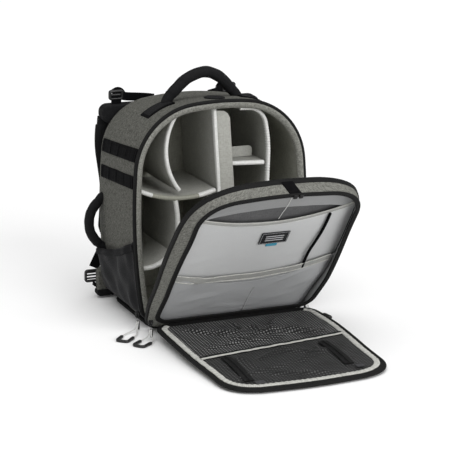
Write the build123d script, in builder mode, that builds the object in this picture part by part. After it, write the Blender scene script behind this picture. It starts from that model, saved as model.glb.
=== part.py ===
"""Opened camera backpack: padded shell, hinged lid with a drop-down front panel, handles, straps and zipper pulls.

Millimetres, +Z up. The origin is the middle of the base panel's underside; the mouth of the shell faces -Y.
"""
from build123d import *
from math import atan2, cos, degrees, radians, sin, sqrt, tan
import os

os.makedirs("parts", exist_ok=True)

# ---------------------------------------------------------------- driving dimensions
base_thickness = 8.0
depth_foot = 215.0          # shell depth at the floor
depth_top = 192.0           # shell depth at the crown of the back panel
mouth_y = -depth_foot / 2
wall = 11.0                 # padded shell wall
lip = 3.0                   # thickness of the zipper tape and of the binding round the mouth
tape = 5.0                  # width of the zipper tape on the mouth
back_thickness = 14.0

# Arches: greatest half width and its height, whole height, and the radii of crown, shoulders, sides and foot corners
MOUTH = dict(half_width=178.0, widest=205.0, height=424.0, crown=520.0, shoulder=131.0, side=1200.0, foot=36.0)
BACK = dict(half_width=178.0, widest=205.0, height=411.0, crown=520.0, shoulder=106.0, side=1200.0, foot=36.0)
POCKET = dict(half_width=166.0, widest=110.0, height=366.0, crown=520.0, shoulder=95.0, side=1300.0, foot=30.0)

lid_tilt = 39.5             # lean of the opened lid from upright, degrees
lid_gap = 0.6               # lid to mouth when the bag is closed
lid_floor = 8.6             # inner padded wall of the lid, measured from the hinge plane
lid_depth = 34.0            # hinge plane to the rim of the lid's front pocket
pocket_foot = 52.0          # height of the pocket rim's foot up the lid
flap_gap = 2.9              # pocket rim to closed front panel, room for the panel's binding
flap_thickness = 5.0
flap_lean = 92.9            # the dropped front panel slopes gently down to the floor
bead = 2.0                  # piping stands this far outside its seam
gusset = 5.0

webbing = 25.0
web_thickness = 2.0
grip_radius = 10.0


# ---------------------------------------------------------------- shared shapes
def bearing(vector):
    return degrees(atan2(vector.Y, vector.X))


def meeting(centre_a, radius_a, centre_b, radius_b):
    """The point right of both centres where two circles cross."""
    span = centre_b - centre_a
    along = (radius_a**2 - radius_b**2 + span.length**2) / (2 * span.length)
    aside = sqrt(radius_a**2 - along**2)
    unit = span.normalized()
    points = [centre_a + unit * along + Vector(-unit.Y, unit.X) * side * aside for side in (1, -1)]
    return max(points, key=lambda point: point.X)


def arch(shape, inset=0.0, mode=Mode.ADD):
    """Draw an arch of tangent arcs on a straight foot, shrunk evenly by inset, into the sketch being made."""
    side_centre = Vector(shape["half_width"] - shape["side"], shape["widest"])
    crown_centre = Vector(0, shape["height"] - shape["crown"])
    rise = shape["widest"] - shape["foot"]
    foot_centre = Vector(side_centre.X + sqrt((shape["side"] - shape["foot"])**2 - rise**2), shape["foot"])
    shoulder_centre = meeting(crown_centre, shape["crown"] - shape["shoulder"],
                              side_centre, shape["side"] - shape["shoulder"])
    low = bearing(foot_centre - side_centre)
    middle = bearing(shoulder_centre - side_centre)
    high = bearing(shoulder_centre - crown_centre)
    with BuildLine() as outline:
        Line((0, inset), (foot_centre.X, inset))
        CenterArc(foot_centre, shape["foot"] - inset, -90, low + 90)
        CenterArc(side_centre, shape["side"] - inset, low, middle - low)
        CenterArc(shoulder_centre, shape["shoulder"] - inset, middle, high - middle)
        CenterArc(crown_centre, shape["crown"] - inset, high, 90 - high)
        mirror(about=Plane.YZ)
    make_face(outline.edges(), mode=mode)


def leaning(y, z, angle):
    """Plane across the bag through (0, y, z), its Y upward and leaning forward by angle, its normal to the front."""
    turn = radians(angle)
    return Plane(origin=(0, y, z), x_dir=(1, 0, 0), z_dir=(0, -cos(turn), -sin(turn)))


mouth_plane = leaning(mouth_y, base_thickness, 0)
back_plane = leaning(mouth_y + depth_foot, base_thickness,
                     degrees(atan2(depth_foot - depth_top, BACK["height"])))
lid_plane = leaning(mouth_y, base_thickness, lid_tilt)


def raised(plane, height):
    """The same plane with its origin moved up along its own Y."""
    return Plane(origin=plane.from_local_coords(Vector(0, height, 0)), x_dir=plane.x_dir, z_dir=plane.z_dir)


rim_plane = raised(lid_plane.offset(lid_depth), pocket_foot)
flap_hinge = rim_plane.offset(flap_gap).origin
flap_plane = leaning(flap_hinge.Y, flap_hinge.Z, flap_lean)


def hull(inset, mode=Mode.ADD):
    """Loft the shell's outer form, moved inward by inset, into the part being made."""
    with BuildSketch(mouth_plane) as front:
        arch(MOUTH, inset)
    with BuildSketch(back_plane) as rear:
        arch(BACK, inset)
    loft([front.sketch, rear.sketch], mode=mode)


def lid_form(inset, mode=Mode.ADD):
    """Loft the lid's gusset, from its outer edge to the rim of its front pocket, moved inward by inset."""
    with BuildSketch(lid_plane.offset(lid_floor)) as edge:
        arch(MOUTH, inset)
    with BuildSketch(rim_plane.offset(-lip)) as rim:
        arch(POCKET, inset)
    loft([edge.sketch, rim.sketch], mode=mode)


def finish(builder, name):
    """Label one piece and write it to its own file."""
    builder.part.label = name
    export_step(builder.part, f"parts/{name}.step")


def ring(plane, shape, outer, inner, amount):
    """Extrude the band between two insets of an arch into the part being made."""
    with BuildSketch(plane) as band:
        arch(shape, outer)
        arch(shape, inner, mode=Mode.SUBTRACT)
    extrude(band.sketch, amount=amount)


def tube(points, diameter):
    """Sweep a cord of straight runs and tangent arcs, each arc as large as its two runs allow."""
    runs = [after - before for before, after in zip(points, points[1:])]
    radii = []
    for run, following in zip(runs, runs[1:]):
        half_turn = radians(run.get_angle(following)) / 2
        radii.append(0.45 * min(run.length, following.length) / tan(half_turn))
    print("cord of", round(sum(run.length for run in runs), 1), "arcs", [round(radius, 1) for radius in radii])
    with BuildLine() as path:
        FilletPolyline(*points, radius=radii)
    with BuildSketch(path.line ^ 0) as section:
        Circle(diameter / 2)
    sweep(section.sketch, path=path.line)


# ---------------------------------------------------------------- shell: walls, mouth and base
with BuildPart() as side_wall:
    hull(0)
    hull(wall, mode=Mode.SUBTRACT)
    split(bisect_by=mouth_plane.offset(-lip), keep=Keep.BOTTOM)
finish(side_wall, "side_wall")

with BuildPart() as back_panel:
    with BuildSketch(back_plane):
        arch(BACK, 2)
    extrude(amount=-back_thickness)
    fillet(back_panel.faces().sort_by(Axis.Y)[-1].edges(), 5)
finish(back_panel, "back_panel")

base_half = 150.0
with BuildPart() as base_panel:
    with BuildSketch():
        Rectangle(2 * base_half, depth_foot - 4)
    extrude(amount=base_thickness)
    fillet(base_panel.edges().filter_by(Axis.Z), 22)
    chamfer(base_panel.faces().sort_by(Axis.Z)[0].edges(), 2)
finish(base_panel, "base_panel")

zipper_end = 26.0           # height above the base panel's top where the main zipper ends
with BuildPart() as main_zipper_tape:
    ring(mouth_plane, MOUTH, 0, tape, -lip)
    split(bisect_by=Plane.XY.offset(base_thickness + zipper_end), keep=Keep.TOP)
finish(main_zipper_tape, "main_zipper_tape")

with BuildPart() as hinge_strip:
    ring(mouth_plane, MOUTH, 0, tape, -lip)
    split(bisect_by=Plane.XY.offset(base_thickness + zipper_end), keep=Keep.BOTTOM)
finish(hinge_strip, "hinge_strip")

with BuildPart() as mouth_binding:
    ring(mouth_plane, MOUTH, tape, wall, -lip)
finish(mouth_binding, "mouth_binding")

# ---------------------------------------------------------------- dividers inside the shell
divider_thickness = 7.0
divider_gap = 0.5           # clearance from the walls
divider_setback = 14.0      # divider edges behind the mouth


def partition(curve, thickness=divider_thickness, front=divider_setback):
    """Extrude a divider from its edge line, drawn across the mouth, to the back panel, clear of the walls."""
    with BuildSketch(mouth_plane.offset(-front)) as edge:
        trace(curve, line_width=thickness)
    extrude(edge.sketch, amount=-depth_foot)
    hull(wall + divider_gap, mode=Mode.INTERSECT)


with BuildLine() as centre_line:
    Polyline((-9, 414), (2, 250), (4, 0))
with BuildPart() as divider_centre:
    partition(centre_line.line)
    with BuildSketch(mouth_plane.offset(-divider_setback)):
        with BuildLine():
            Polyline((-12, 402), (10, 402), (21, 390), (30, 250), (32, 60), (1, 60), (-1, 250), (-12, 402))
        make_face()
    extrude(amount=4)
finish(divider_centre, "divider_centre")

with BuildLine() as right_bend:
    FilletPolyline((44, 401), (94, 401), (105, 330), (98, 150), radius=[38, 260])
with BuildPart() as divider_right:
    partition(right_bend.line, thickness=6)
finish(divider_right, "divider_right")

with BuildLine() as left_bend:
    ThreePointArc((-82, 402), (-106, 335), (-80, 254))
with BuildPart() as divider_left:
    partition(left_bend.line, thickness=6)
finish(divider_left, "divider_left")

with BuildLine() as left_shelf_line:
    ThreePointArc((-172, 266), (-92, 239), (-6.5, 248))
with BuildPart() as shelf_left:
    partition(left_shelf_line.line)
    add(divider_centre.part, mode=Mode.SUBTRACT)
finish(shelf_left, "shelf_left")

with BuildLine() as right_shelf_line:
    Line((7, 297), (98.5, 293))
with BuildPart() as shelf_right:
    partition(right_shelf_line.line, front=divider_setback + 4)
    with BuildSketch(mouth_plane.offset(-divider_setback - 46)):
        with Locations((60, 309)):
            Rectangle(58, 22)
    extrude(amount=-3)
    add(divider_centre.part, mode=Mode.SUBTRACT)
    add(divider_right.part, mode=Mode.SUBTRACT)
finish(shelf_right, "shelf_right")

with BuildLine() as low_bend:
    ThreePointArc((-88, 236), (-83, 190), (-92, 120))
with BuildPart() as divider_lower_left:
    partition(low_bend.line)
    add(shelf_left.part, mode=Mode.SUBTRACT)
finish(divider_lower_left, "divider_lower_left")

with BuildLine() as low_shelf_line:
    ThreePointArc((-176, 114), (-136, 108), (-97, 134))
with BuildPart() as shelf_lower_left:
    partition(low_shelf_line.line)
    add(divider_lower_left.part, mode=Mode.SUBTRACT)
finish(shelf_lower_left, "shelf_lower_left")

# ---------------------------------------------------------------- webbing, pockets and patch on the shell's outside
webbing_heights = (331.0, 280.0)
webbing_slope = -4.0
with BuildPart() as side_webbing:
    with Locations(*[Location((side * 160, mouth_y + 99, height), (webbing_slope, 0, 0))
                     for side in (-1, 1) for height in webbing_heights]):
        Box(90, 186, webbing)
    hull(-web_thickness, mode=Mode.INTERSECT)
    hull(0, mode=Mode.SUBTRACT)
finish(side_webbing, "side_webbing")

handle_y = mouth_y + 80
handle_patches = {-107.0: 66.0, 84.0: 44.0}     # middle and length of the cloth patch at each foot of the handle
with BuildPart() as handle_strip:
    for middle, length in handle_patches.items():
        with Locations((middle, handle_y, 400)):
            Box(length, 44, 90)
    hull(-web_thickness, mode=Mode.INTERSECT)
    hull(0, mode=Mode.SUBTRACT)
finish(handle_strip, "handle_strip")

with BuildPart() as port_patch:
    with BuildSketch(Plane.XY.offset(400)):
        with Locations((4, mouth_y + 42)):
            Ellipse(17, 22)
    extrude(amount=50)
    hull(-web_thickness, mode=Mode.INTERSECT)
    hull(0, mode=Mode.SUBTRACT)
finish(port_patch, "port_patch")

pocket_standoff = 14.0      # how far the stretch side pockets stand out
pocket_fabric = 3.0
pocket_front = mouth_y + 8
pocket_length = 192.0
pocket_bottom = 16.0
pocket_top = 172.0          # at the front edge; the hem slopes down to the back
pocket_slope = 17.0
with BuildPart() as pocket_cavity:
    with Locations((-150, pocket_front + pocket_length / 2, pocket_bottom + 5)):
        Box(120, pocket_length - 12, pocket_top, align=(Align.CENTER, Align.CENTER, Align.MIN))
    hull(pocket_fabric - pocket_standoff, mode=Mode.INTERSECT)
with BuildPart() as side_pocket_left:
    with Locations((-150, pocket_front + pocket_length / 2, pocket_bottom)):
        Box(120, pocket_length, pocket_top, align=(Align.CENTER, Align.CENTER, Align.MIN))
    split(bisect_by=Plane(origin=(0, pocket_front, pocket_top),
                          z_dir=(0, sin(radians(pocket_slope)), cos(radians(pocket_slope)))), keep=Keep.BOTTOM)
    hull(-pocket_standoff, mode=Mode.INTERSECT)
    hull(0, mode=Mode.SUBTRACT)
    add(pocket_cavity.part, mode=Mode.SUBTRACT)
finish(side_pocket_left, "side_pocket_left")

with BuildPart() as side_pocket_right:
    mirror(side_pocket_left.part, about=Plane.YZ)
finish(side_pocket_right, "side_pocket_right")

# ---------------------------------------------------------------- harness on the back
pad_thickness = 12.0
strap_offset = back_thickness + pad_thickness + 5
strap_thickness = 12.0
strap_width = 60.0
strap_top = 352.0
yoke_gap = 3.5
with BuildPart() as back_pads:
    with BuildSketch(back_plane.offset(-back_thickness)):
        with Locations((-52, 235), (52, 235)):
            RectangleRounded(62, 180, 24)
        with Locations((0, 82)):
            RectangleRounded(210, 78, 28)
    extrude(amount=-pad_thickness)
finish(back_pads, "back_pads")

with BuildPart() as strap_yoke:
    with BuildSketch(back_plane.offset(-back_thickness)):
        with Locations((0, strap_top + yoke_gap + 12)):
            RectangleRounded(322, 24, 11)
    extrude(amount=-(strap_offset + strap_thickness - back_thickness))
finish(strap_yoke, "strap_yoke")

with BuildLine() as strap_line:
    FilletPolyline((134, 380), (142, 250), (152, 118), radius=400)
with BuildLine() as sling_line:
    Line((150, 124), (179, 52))
with BuildPart() as shoulder_strap_right:
    with BuildSketch(back_plane.offset(-strap_offset)):
        trace(strap_line.line, line_width=strap_width)
    extrude(amount=-strap_thickness)
    with BuildSketch(back_plane.offset(-strap_offset - 4)):
        trace(sling_line.line, line_width=webbing - 3)
    extrude(amount=-web_thickness)
    split(bisect_by=Plane(origin=back_plane.from_local_coords(Vector(0, strap_top, 0)), z_dir=back_plane.y_dir),
          keep=Keep.BOTTOM)
finish(shoulder_strap_right, "shoulder_strap_right")

lock_x = 182.0
lock_top = 46.0
lock_height = 26.0
with BuildPart() as ladder_lock_right:
    with BuildSketch(back_plane.offset(-strap_offset - 2)):
        with Locations((lock_x, lock_top - lock_height / 2)):
            Rectangle(34, lock_height)
            with Locations((0, -5), (0, 6)):
                Rectangle(26, 4, mode=Mode.SUBTRACT)
    extrude(amount=-7)
finish(ladder_lock_right, "ladder_lock_right")

with BuildLine() as tail_line:
    Polyline((lock_x, lock_top - lock_height - 2.5), (162, 12), (138, 12))
with BuildPart() as strap_tail_right:
    with BuildSketch(back_plane.offset(-back_thickness - 0.5)):
        trace(tail_line.line, line_width=web_thickness)
    extrude(amount=-webbing + 1)
finish(strap_tail_right, "strap_tail_right")

lifter_x = 136.0
lifter_height = 405.0
with BuildPart() as load_lifters:
    with BuildSketch(back_plane.offset(-back_thickness - 2)):
        for side in (-1, 1):
            with BuildLine() as lifter_line:
                Line((side * 58, 397), (side * (lifter_x - 11.5), lifter_height - 1))
            trace(lifter_line.edges(), line_width=web_thickness)
            with Locations((side * lifter_x, lifter_height)):
                Rectangle(24, 10)
    extrude(amount=-22)
    with BuildSketch(back_plane.offset(-back_thickness - 14)):
        for side in (-1, 1):
            with Locations((side * lifter_x, (strap_top + yoke_gap + 24.3 + lifter_height - 5) / 2)):
                Rectangle(20, lifter_height - 5 - strap_top - yoke_gap - 24.3)
    extrude(amount=-web_thickness)
finish(load_lifters, "load_lifters")

for right, name in ((shoulder_strap_right, "shoulder_strap_left"), (ladder_lock_right, "ladder_lock_left"),
                    (strap_tail_right, "strap_tail_left")):
    with BuildPart() as left:
        mirror(right.part, about=Plane.YZ)
    finish(left, name)

# ---------------------------------------------------------------- carry handles
handle_route = [(-74, 434), (-41, 463.5), (-4, 475), (26, 464), (56, 436)]    # across and height
with BuildPart() as top_handle:
    with BuildLine() as top_line:
        Spline(*[(x, handle_y, z) for x, z in handle_route])
    with BuildSketch(top_line.line ^ 0):
        Circle(grip_radius)
    sweep()
finish(top_handle, "top_handle")

side_handle_x = -190.0
side_handle_y = mouth_y + 191
with BuildPart() as side_handle:
    with BuildLine() as side_line:
        ThreePointArc((side_handle_x, side_handle_y, 124), (side_handle_x - 16, side_handle_y, 172),
                      (side_handle_x, side_handle_y, 220))
    with BuildSketch(side_line.line ^ 0):
        Circle(grip_radius)
    sweep()
finish(side_handle, "side_handle")

# ---------------------------------------------------------------- lid
lid_face = lid_plane.offset(lid_gap)
with BuildPart() as lid_zipper_tape:
    ring(lid_face, MOUTH, 0, tape, lip)
finish(lid_zipper_tape, "lid_zipper_tape")

with BuildPart() as lid_panel:
    with BuildSketch(lid_face):
        arch(MOUTH, tape)
    extrude(amount=lip)
    with BuildSketch(lid_face.offset(lip)):
        arch(MOUTH)
    extrude(amount=lid_floor - lid_gap - lip)
finish(lid_panel, "lid_panel")

with BuildPart() as lid_gusset:
    lid_form(0)
    lid_form(gusset, mode=Mode.SUBTRACT)
finish(lid_gusset, "lid_gusset")

with BuildPart() as pocket_zipper_tape:
    ring(rim_plane.offset(-lip), POCKET, 0, 7, lip)
finish(pocket_zipper_tape, "pocket_zipper_tape")

with BuildPart() as pocket_rim_piping:
    ring(rim_plane.offset(-lip), POCKET, -bead, 0, lip)
finish(pocket_rim_piping, "pocket_rim_piping")

sleeve_thickness = 8.0
sleeve_face = lid_floor + 0.3 + sleeve_thickness
with BuildPart() as laptop_sleeve:
    with BuildSketch(lid_plane.offset(lid_floor + 0.3)):
        arch(MOUTH, 16)
        with BuildLine():
            Line((170, 30), (-170, 30))
            Line((-170, 30), (-170, 360))
            ThreePointArc((-170, 360), (0, 321), (170, 360))
            Line((170, 360), (170, 30))
        make_face(mode=Mode.INTERSECT)
    extrude(amount=sleeve_thickness)
finish(laptop_sleeve, "laptop_sleeve")

lower_face = sleeve_face + 0.3
lower_thickness = 4.0
with BuildPart() as lower_pocket:
    with BuildSketch(lid_plane.offset(lower_face)):
        arch(MOUTH, 20)
        with BuildLine():
            Line((165, 39), (-165, 39))
            Line((-165, 39), (-165, 188))
            ThreePointArc((-165, 188), (10, 141), (165, 196))
            Line((165, 196), (165, 39))
        make_face(mode=Mode.INTERSECT)
    extrude(amount=lower_thickness)
finish(lower_pocket, "lower_pocket")

with BuildPart() as label_patch:
    with BuildSketch(lid_plane.offset(lower_face)):
        with Locations((27, 273)):
            Rectangle(56, 33)
        with Locations((28, 252)):
            Rectangle(22, 11)
    extrude(amount=1.2)
finish(label_patch, "label_patch")

with BuildPart() as lid_pull_tab:
    lid_form(-web_thickness)
    lid_form(0, mode=Mode.SUBTRACT)
    with BuildSketch(lid_plane):
        with Locations((7, 400)):
            Rectangle(22, 120)
    extrude(amount=lid_depth, mode=Mode.INTERSECT)
finish(lid_pull_tab, "lid_pull_tab")

# ---------------------------------------------------------------- front panel, hinged on the foot of the pocket rim
with BuildPart() as flap_panel:
    with BuildSketch(flap_plane):
        arch(POCKET)
    extrude(amount=flap_thickness)
finish(flap_panel, "flap_panel")

with BuildPart() as flap_piping:
    ring(flap_plane, POCKET, -bead, 0, flap_thickness)
finish(flap_piping, "flap_piping")

binding = 11.0
binding_thickness = 2.5
with BuildPart() as flap_binding:
    ring(flap_plane, POCKET, 0, binding, -binding_thickness)
finish(flap_binding, "flap_binding")

pocket_split = 178.0        # middle of the pale strip between the two mesh pockets
split_turn = -7.0           # the strip runs aslant, degrees
strip_width = 10.0
mesh_thickness = 3.0
with BuildPart() as mesh_pockets:
    with BuildSketch(flap_plane):
        arch(POCKET, binding + 0.5)
        with Locations((0, pocket_split)):
            Rectangle(400, strip_width + 1, rotation=split_turn, mode=Mode.SUBTRACT)
    extrude(amount=-mesh_thickness)
finish(mesh_pockets, "mesh_pockets")

with BuildPart() as flap_strip:
    with BuildSketch(flap_plane):
        arch(POCKET, binding + 0.5)
        with Locations((0, pocket_split)):
            Rectangle(400, strip_width, rotation=split_turn, mode=Mode.INTERSECT)
    extrude(amount=-mesh_thickness)
finish(flap_strip, "flap_strip")

with BuildPart() as mesh_zippers:
    with BuildSketch(flap_plane.offset(-mesh_thickness)):
        with Locations((-100, 264), (97, 254)):
            Rectangle(12, 112)
    extrude(amount=-1.5)
finish(mesh_zippers, "mesh_zippers")

# ---------------------------------------------------------------- leash clipped inside the lid
leash_diameter = 5.5
leash_height = sleeve_face + leash_diameter / 2 + 0.5
leash_route = [(120, 334), (121, 296), (117, 254), (110, 212), (113, 170)]
with BuildPart() as key_leash:
    tube([lid_plane.from_local_coords(Vector(x, up, leash_height)) for x, up in leash_route], leash_diameter)
finish(key_leash, "key_leash")

# ---------------------------------------------------------------- zipper sliders and their pulls
slider_width = 9.0
slider_length = 12.0
main_slider = (173.2, 22.0)     # place on the mouth plane
pocket_slider = (171.5, 10.0)   # place on the pocket rim's plane
cord_diameter = 2.6
tab_length = 17.0
grip_bar = 5.0
grip_length = 28.0
grip_half_width = 11.5
grip_bottom = 0.4

# Cord routes from the eye under the slider to one end of the grip: along the pull, aside, and above the floor
LONG_DROP = [(0, 1.4, 20), (4, 1.6, 10.5), (13, 4, 4.5), (25, 9.5, 3), (37, 11.5, 3), (47, 11.5, 3)]
SHORT_DROP = [(0, 1.4, 22.5), (2, 1.5, 14), (4.5, 6, 7), (9, 11.5, 3), (18, 11.5, 3)]

# Each pull: where its eye stands over the floor, measured from the middle of the mouth, its direction and its route
PULLS = {
    "main_left": ((-176, -7), 227, LONG_DROP),
    "main_right": ((176, -7), -80.5, LONG_DROP),
    "pocket_left": ((-173, -72), 218.5, SHORT_DROP),
}

for name, (eye, direction, route) in PULLS.items():
    side = 1 if "right" in name else -1
    is_main = "main" in name
    seat = mouth_plane.offset(-slider_length / 2) if is_main else rim_plane.offset(-3.5)
    x, height = main_slider if is_main else pocket_slider
    with BuildPart() as slider:
        with BuildSketch(seat):
            with Locations((side * x, height)):
                RectangleRounded(slider_width, slider_length, 2)
        extrude(amount=slider_length if is_main else 9)
    finish(slider, f"{name}_slider")

    pull_floor = Plane(origin=(eye[0], mouth_y + eye[1], 0),
                       x_dir=(cos(radians(direction)), sin(radians(direction)), 0), z_dir=(0, 0, 1))
    eye_height = route[0][2]
    with BuildPart() as tab:
        with BuildSketch(pull_floor.offset(eye_height - tab_length - 1)):
            with Locations((-3.3, 0)):
                Rectangle(1.5, 5)
        extrude(amount=tab_length)
    finish(tab, f"{name}_tab")

    with BuildPart() as cord:
        for strand in (1, -1):
            points = [pull_floor.from_local_coords(Vector(along, strand * aside, up)) for along, aside, up in route]
            tube(points, cord_diameter)
    finish(cord, f"{name}_cord")

    near = route[-1][0]
    far = near + grip_length
    with BuildPart() as grip:
        with BuildSketch(pull_floor.offset(grip_bottom)):
            with BuildLine():
                FilletPolyline((near, grip_half_width), (far, grip_half_width),
                               (far, -grip_half_width), (near, -grip_half_width), radius=6)
            trace(line_width=grip_bar)
        extrude(amount=grip_bar)
    finish(grip, f"{name}_grip")
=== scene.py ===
"""Looks of the opened camera backpack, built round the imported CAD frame.

Shapes are worked out in millimetres in the part's own frame (+Z up, mouth of the shell to -Y),
and stored in metres.
"""
import bpy
import bmesh
import math
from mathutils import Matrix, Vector, noise


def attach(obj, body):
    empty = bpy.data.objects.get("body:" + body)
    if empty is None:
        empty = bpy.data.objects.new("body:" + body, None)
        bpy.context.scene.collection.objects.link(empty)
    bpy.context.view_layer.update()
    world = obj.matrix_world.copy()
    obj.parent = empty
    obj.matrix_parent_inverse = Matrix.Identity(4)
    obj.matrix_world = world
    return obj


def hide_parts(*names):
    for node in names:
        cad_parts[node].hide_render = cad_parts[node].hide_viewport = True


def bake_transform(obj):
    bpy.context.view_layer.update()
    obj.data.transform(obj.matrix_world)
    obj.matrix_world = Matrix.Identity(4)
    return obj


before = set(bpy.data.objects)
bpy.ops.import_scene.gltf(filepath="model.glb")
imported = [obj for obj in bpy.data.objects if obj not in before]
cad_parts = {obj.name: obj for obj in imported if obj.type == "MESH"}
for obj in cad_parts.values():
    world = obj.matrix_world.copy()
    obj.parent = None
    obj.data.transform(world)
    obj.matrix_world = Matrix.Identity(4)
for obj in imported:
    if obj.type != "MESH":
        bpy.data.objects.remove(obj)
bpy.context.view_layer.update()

MM = 0.001
scene = bpy.context.scene


# ---------------------------------------------------------------- planes and outlines shared with the CAD
class Plane:
    """A plane across the bag through (0, y, z), leaning forward by degrees; out is its normal to the
    front."""

    def __init__(self, y, z, lean):
        turn = math.radians(lean)
        self.origin = Vector((0, y, z))
        self.up = Vector((0, -math.sin(turn), math.cos(turn)))
        self.out = Vector((0, -math.cos(turn), -math.sin(turn)))

    def at(self, x, up, out=0.0):
        return self.origin + Vector((x, 0, 0)) + self.up * up + self.out * out


def ramp(value, low, high):
    """A smooth step from 0 to 1 between two values."""
    share = min(1.0, max(0.0, (value - low) / (high - low)))
    return share * share * (3 - 2 * share)


def fullness(x, up):
    """How far soft cloth on the open lid lies from its drawn place: a slight lean to the right, fuller
    corners."""
    right = math.exp(-((x - 138)**2 + (up - 372)**2) / 3600)
    left = math.exp(-((x + 135)**2 + (up - 380)**2) / 3000)
    lean = 7.0 * ramp(up, 60, 150) * (1 - ramp(up, 290, 410) * ramp(-x, 0, 120))
    return lean + 8.0 * right - 3.0 * left, 3.0 * ramp(up, 330, 424) + 7.0 * right + 3.0 * left


class SoftPlane(Plane):
    """A plane of the open lid; foot is how far its line x lies above the lid's own foot."""
    foot = 0.0

    def at(self, x, up, out=0.0):
        aside, rise = fullness(x, up + self.foot)
        return super().at(x + aside, up + rise, out)


mouth_y = -107.5
depth = 215.0
floor_height = 8.0
lid_lean = 39.5
flap_lean = 92.9
pocket_foot = 52.0          # height of the pocket rim's foot up the lid
lid_depth = 34.0            # hinge plane to the rim of the lid's front pocket
flap_gap = 2.9              # pocket rim to the front panel when closed
gusset_low = 8.6            # outer edge of the gusset above the lid's plane
gusset_high = -2.6          # inner edge of the gusset from the pocket rim's plane
mouth = Plane(mouth_y, floor_height, 0)
back = Plane(mouth_y + depth, floor_height, math.degrees(math.atan2(23, 411)))
flat_lid = Plane(mouth_y, floor_height, lid_lean)
rim_origin = flat_lid.at(0, pocket_foot, lid_depth)
flat_rim = Plane(rim_origin.y, rim_origin.z, lid_lean)
lid = SoftPlane(mouth_y, floor_height, lid_lean)
rim = SoftPlane(rim_origin.y, rim_origin.z, lid_lean)
rim.foot = pocket_foot
flap_origin = flat_rim.at(0, 0, flap_gap)


class FlapPlane(Plane):
    """The plane of the open front panel, its far corners a little fuller than drawn."""

    def at(self, x, up, out=0.0):
        right = math.exp(-((x - 140)**2 + (up - 322)**2) / 4000)
        left = math.exp(-((x + 132)**2 + (up - 332)**2) / 2800)
        aside = 3.5 * ramp(up, 20, 110) + 9.0 * right - 7.0 * left
        return super().at(x + aside, up - 3.0 * ramp(up, 300, 366) + 7.0 * right + 5.0 * left, out)


flap = FlapPlane(flap_origin.y, flap_origin.z, flap_lean)
flat_flap = Plane(flap_origin.y, flap_origin.z, flap_lean)

MOUTH = dict(half_width=178.0, widest=205.0, height=424.0, crown=520.0, shoulder=131.0, side=1200.0,
             foot=36.0)
BACK = dict(half_width=178.0, widest=205.0, height=411.0, crown=520.0, shoulder=106.0, side=1200.0, foot=36.0)
POCKET = dict(half_width=166.0, widest=110.0, height=366.0, crown=520.0, shoulder=84.0, side=1300.0,
              foot=30.0)


def bearing(vector):
    return math.atan2(vector.y, vector.x)


def meeting(centre_a, radius_a, centre_b, radius_b):
    """The point right of both centres where two circles cross."""
    span = centre_b - centre_a
    along = (radius_a**2 - radius_b**2 + span.length**2) / (2 * span.length)
    aside = math.sqrt(radius_a**2 - along**2)
    unit = span.normalized()
    points = [centre_a + unit * along + Vector((-unit.y, unit.x)) * side * aside for side in (1, -1)]
    return max(points, key=lambda point: point.x)


outlines = {}


def arch(shape, inset=0.0):
    """The arch's closed outline, anticlockwise from the middle of its foot, with as many points at every
    inset."""
    key = (shape["height"], round(inset, 4))
    if key in outlines:
        return outlines[key]
    side = Vector((shape["half_width"] - shape["side"], shape["widest"]))
    crown = Vector((0, shape["height"] - shape["crown"]))
    rise = shape["widest"] - shape["foot"]
    foot = Vector((side.x + math.sqrt((shape["side"] - shape["foot"])**2 - rise**2), shape["foot"]))
    shoulder = meeting(crown, shape["crown"] - shape["shoulder"], side, shape["side"] - shape["shoulder"])
    low, middle, high = bearing(foot - side), bearing(shoulder - side), bearing(shoulder - crown)
    half = [Vector((foot.x * step / 14, inset)) for step in range(14)]
    arcs = ((foot, shape["foot"], -math.pi / 2, low, 8), (side, shape["side"], low, middle, 26),
            (shoulder, shape["shoulder"], middle, high, 18), (crown, shape["crown"], high, math.pi / 2, 24))
    for centre, radius, start, stop, count in arcs:
        for step in range(count):
            angle = start + (stop - start) * step / count
            half.append(centre + Vector((math.cos(angle), math.sin(angle))) * (radius - inset))
    outline = half + [Vector((0, shape["height"] - inset))] + [Vector((-p.x,
                                                                       p.y)) for p in reversed(half[1:])]
    outlines[key] = outline
    return outline


def mix(a, b, share):
    return a + (b - a) * share


def rumple(point, size, amount, seed=0.0):
    """Smooth noise over space, between about -amount and amount, in lumps of that size."""
    return noise.noise(point / size + Vector((seed, seed * 0.7, -seed))) * 1.6 * amount


def hull_ring(inset, share):
    """The shell's outline at a share of its depth, from mouth to back panel."""
    front, rear = arch(MOUTH, inset), arch(BACK, inset)
    return [mix(mouth.at(a.x, a.y), back.at(b.x, b.y), share) for a, b in zip(front, rear)]


def hull_half_width(y, z, inset=0.0):
    """The shell's half width at a place on its side."""
    share = min(1.0, max(0.0, (y - mouth_y) / depth))
    ring = [mix(a, b, share) for a, b in zip(arch(MOUTH, inset), arch(BACK, inset))][14:66]
    height = z - floor_height
    for lower, upper in zip(ring, ring[1:]):
        if height <= upper.y:
            return mix(lower.x, upper.x, max(0.0, (height - lower.y) / max(1e-6, upper.y - lower.y)))
    return ring[-1].x


def hull_top(x, y, inset=0.0):
    """The height of the shell's crown above the floor at a place on its top."""
    share = min(1.0, max(0.0, (y - mouth_y) / depth))
    ring = [mix(a, b, share) for a, b in zip(arch(MOUTH, inset), arch(BACK, inset))][44:91]
    for outer, inner in zip(ring, ring[1:]):
        if abs(x) >= inner.x:
            part = (outer.x - abs(x)) / max(1e-6, outer.x - inner.x)
            return floor_height + mix(outer.y, inner.y, min(1.0, max(0.0, part)))
    return floor_height + ring[-1].y


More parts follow.
